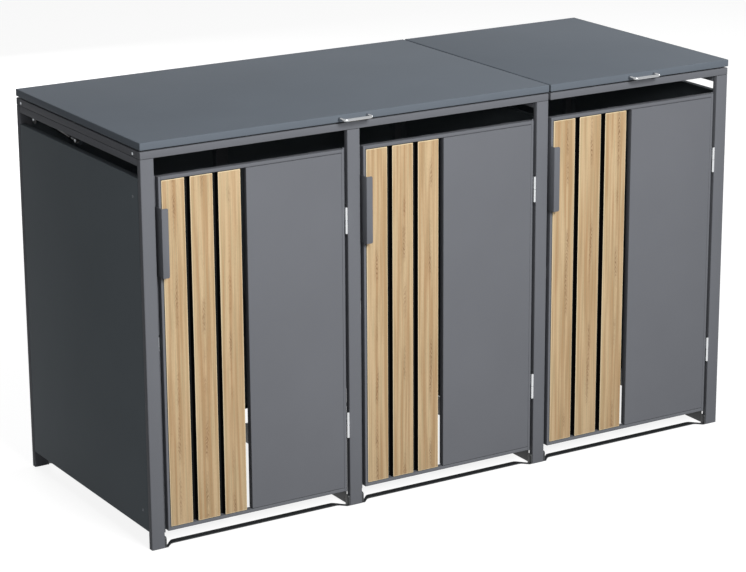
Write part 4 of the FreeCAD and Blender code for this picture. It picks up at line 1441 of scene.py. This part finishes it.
@dataclass(frozen=True)
class Viewpoint:
    """Where the camera stands, in the row frame, and how long its lens is."""

    place: tuple[float, float, float] = (-4.169737, -6.77901, 2.926067)
    azimuth: float = -31.371
    elevation: float = 16.742
    roll: float = -0.336
    lens_pixels: float = 2631.293
    picture_wide: float = 746
    sensor: float = 36

    def set_up(self) -> None:
        """Make the camera and use it."""
        data = bpy.data.cameras.new("photo_view")
        data.sensor_width = self.sensor
        data.lens = self.lens_pixels * self.sensor / self.picture_wide
        camera = placed("photo_view", data)
        turn = Euler((math.radians(90 - self.elevation), 0, math.radians(self.azimuth))).to_matrix()
        roll = Matrix.Rotation(math.radians(self.roll), 3, "Z")
        camera.matrix_world = Matrix.Translation(self.place) @ (turn @ roll).to_4x4()
        bpy.context.scene.camera = camera


@dataclass
class Studio:
    """Pale floor, white surroundings and soft lamps."""

    floor_size: float = 60
    floor_drop: float = 0.4
    floor_glow: float = 0.88
    ambient: float = 0.135

    def build(self) -> None:
        """Make the floor, the world and the lamps."""
        self.floor()
        self.world()
        self.lamp("key", (-0.3, -6.0, 4.3), (-0.1, -0.2, 0.7), 2.5, 520)
        self.lamp("fill", (-4.5, -7.4, 3.3), (0.0, 0.0, 0.8), 1.2, 55)
        self.lamp("right", (6.5, 1.2, 3.4), (0.9, 0.1, 1.0), 2.4, 190)
        self.lamp("back", (0.4, 6.0, 1.9), (0.0, 0.4, 0.6), 2.4, 200).visible_glossy = False
        bpy.context.scene.view_settings.view_transform = "Standard"

    def floor(self) -> None:
        """White floor that keeps a light shadow."""
        work = bmesh.new()
        bmesh.ops.create_grid(work, x_segments=1, y_segments=1, size=self.floor_size / 2,
                              matrix=Matrix.Translation((0, 0, -self.floor_drop * MM)))
        mesh = bpy.data.meshes.new("floor")
        work.to_mesh(mesh)
        work.free()
        floor = placed("floor", mesh)
        material = bpy.data.materials.new("white_floor")
        material.use_nodes = True
        tree = material.node_tree
        tree.nodes.clear()
        paint = add_node(tree, "ShaderNodeBsdfDiffuse", {"Color": linear("#9a9a9a")})
        card = add_node(tree, "ShaderNodeBsdfDiffuse", {"Color": linear("#848484")})
        glow = add_node(tree, "ShaderNodeEmission",
                        {"Color": linear("#ffffff"), "Strength": self.floor_glow})
        lit = add_node(tree, "ShaderNodeAddShader", {0: card, 1: glow})
        mix = self.by_ray(tree, ("Is Camera Ray", "Is Glossy Ray"), paint, lit)
        add_node(tree, "ShaderNodeOutputMaterial", {"Surface": mix})
        mesh.materials.append(material)

    def world(self) -> None:
        """White to the eye and in reflections, and dimmer as a light."""
        world = bpy.data.worlds.new("studio")
        bpy.context.scene.world = world
        world.use_nodes = True
        tree = world.node_tree
        tree.nodes.clear()
        soft, white = [add_node(tree, "ShaderNodeBackground",
                                {"Color": linear("#ffffff"), "Strength": strength})
                       for strength in (self.ambient, 1.0)]
        mix = self.by_ray(tree, ("Is Camera Ray", "Is Glossy Ray", "Is Transmission Ray"), soft, white)
        add_node(tree, "ShaderNodeOutputWorld", {"Surface": mix})

    def by_ray(self, tree: Tree, kinds: Iterable[str], other: Node, chosen: Node) -> Node:
        """Show one shader to some kinds of rays and another to the rest.

        Args:
            tree: The shaders' node tree.
            kinds: The kinds of rays, as the light-path node calls them.
            other: What the rest of the rays meet.
            chosen: What these kinds of rays meet.

        Returns:
            The node that mixes the two.
        """
        rays = add_node(tree, "ShaderNodeLightPath")
        seen: float | Node = 0.0
        for kind in kinds:
            seen = maths(tree, "MAXIMUM", rays.outputs[kind], seen)
        return add_node(tree, "ShaderNodeMixShader", {0: seen, 1: other, 2: chosen})

    def lamp(self, name: str, place: Sequence[float], aim: Sequence[float], size: float,
             power: float) -> Object:
        """Soft square lamp.

        Args:
            name: Its name.
            place: Where it hangs.
            aim: What it points at.
            size: Its side, in metres.
            power: Its power, in watts.

        Returns:
            The lamp.
        """
        data = bpy.data.lights.new(name, "AREA")
        data.size = size
        data.energy = power
        lamp = placed(name, data)
        lamp.location = place
        lamp.rotation_euler = (Vector(aim) - Vector(place)).to_track_quat("-Z", "Y").to_euler()
        return lamp


def main() -> None:
    """Build the store piece by piece, then the studio round it."""
    logging.basicConfig(level=logging.INFO, format="%(name)s %(message)s")
    lids = [Lid(unit) for unit in ("double", "single")]
    struts = [GasStrut(wall) for wall in ("left", "shared", "right")]
    doors = [Door(1), Door(2), Door(3, board_wide=80, board_gap=17)]
    for part in (SteelFrame(), GroundWork(), Fasteners(), LidHinges(), *lids, *struts, *doors,
                 PostFittings(), Studio()):
        part.build()
    Viewpoint().set_up()


if __name__ == "__main__":
    main()
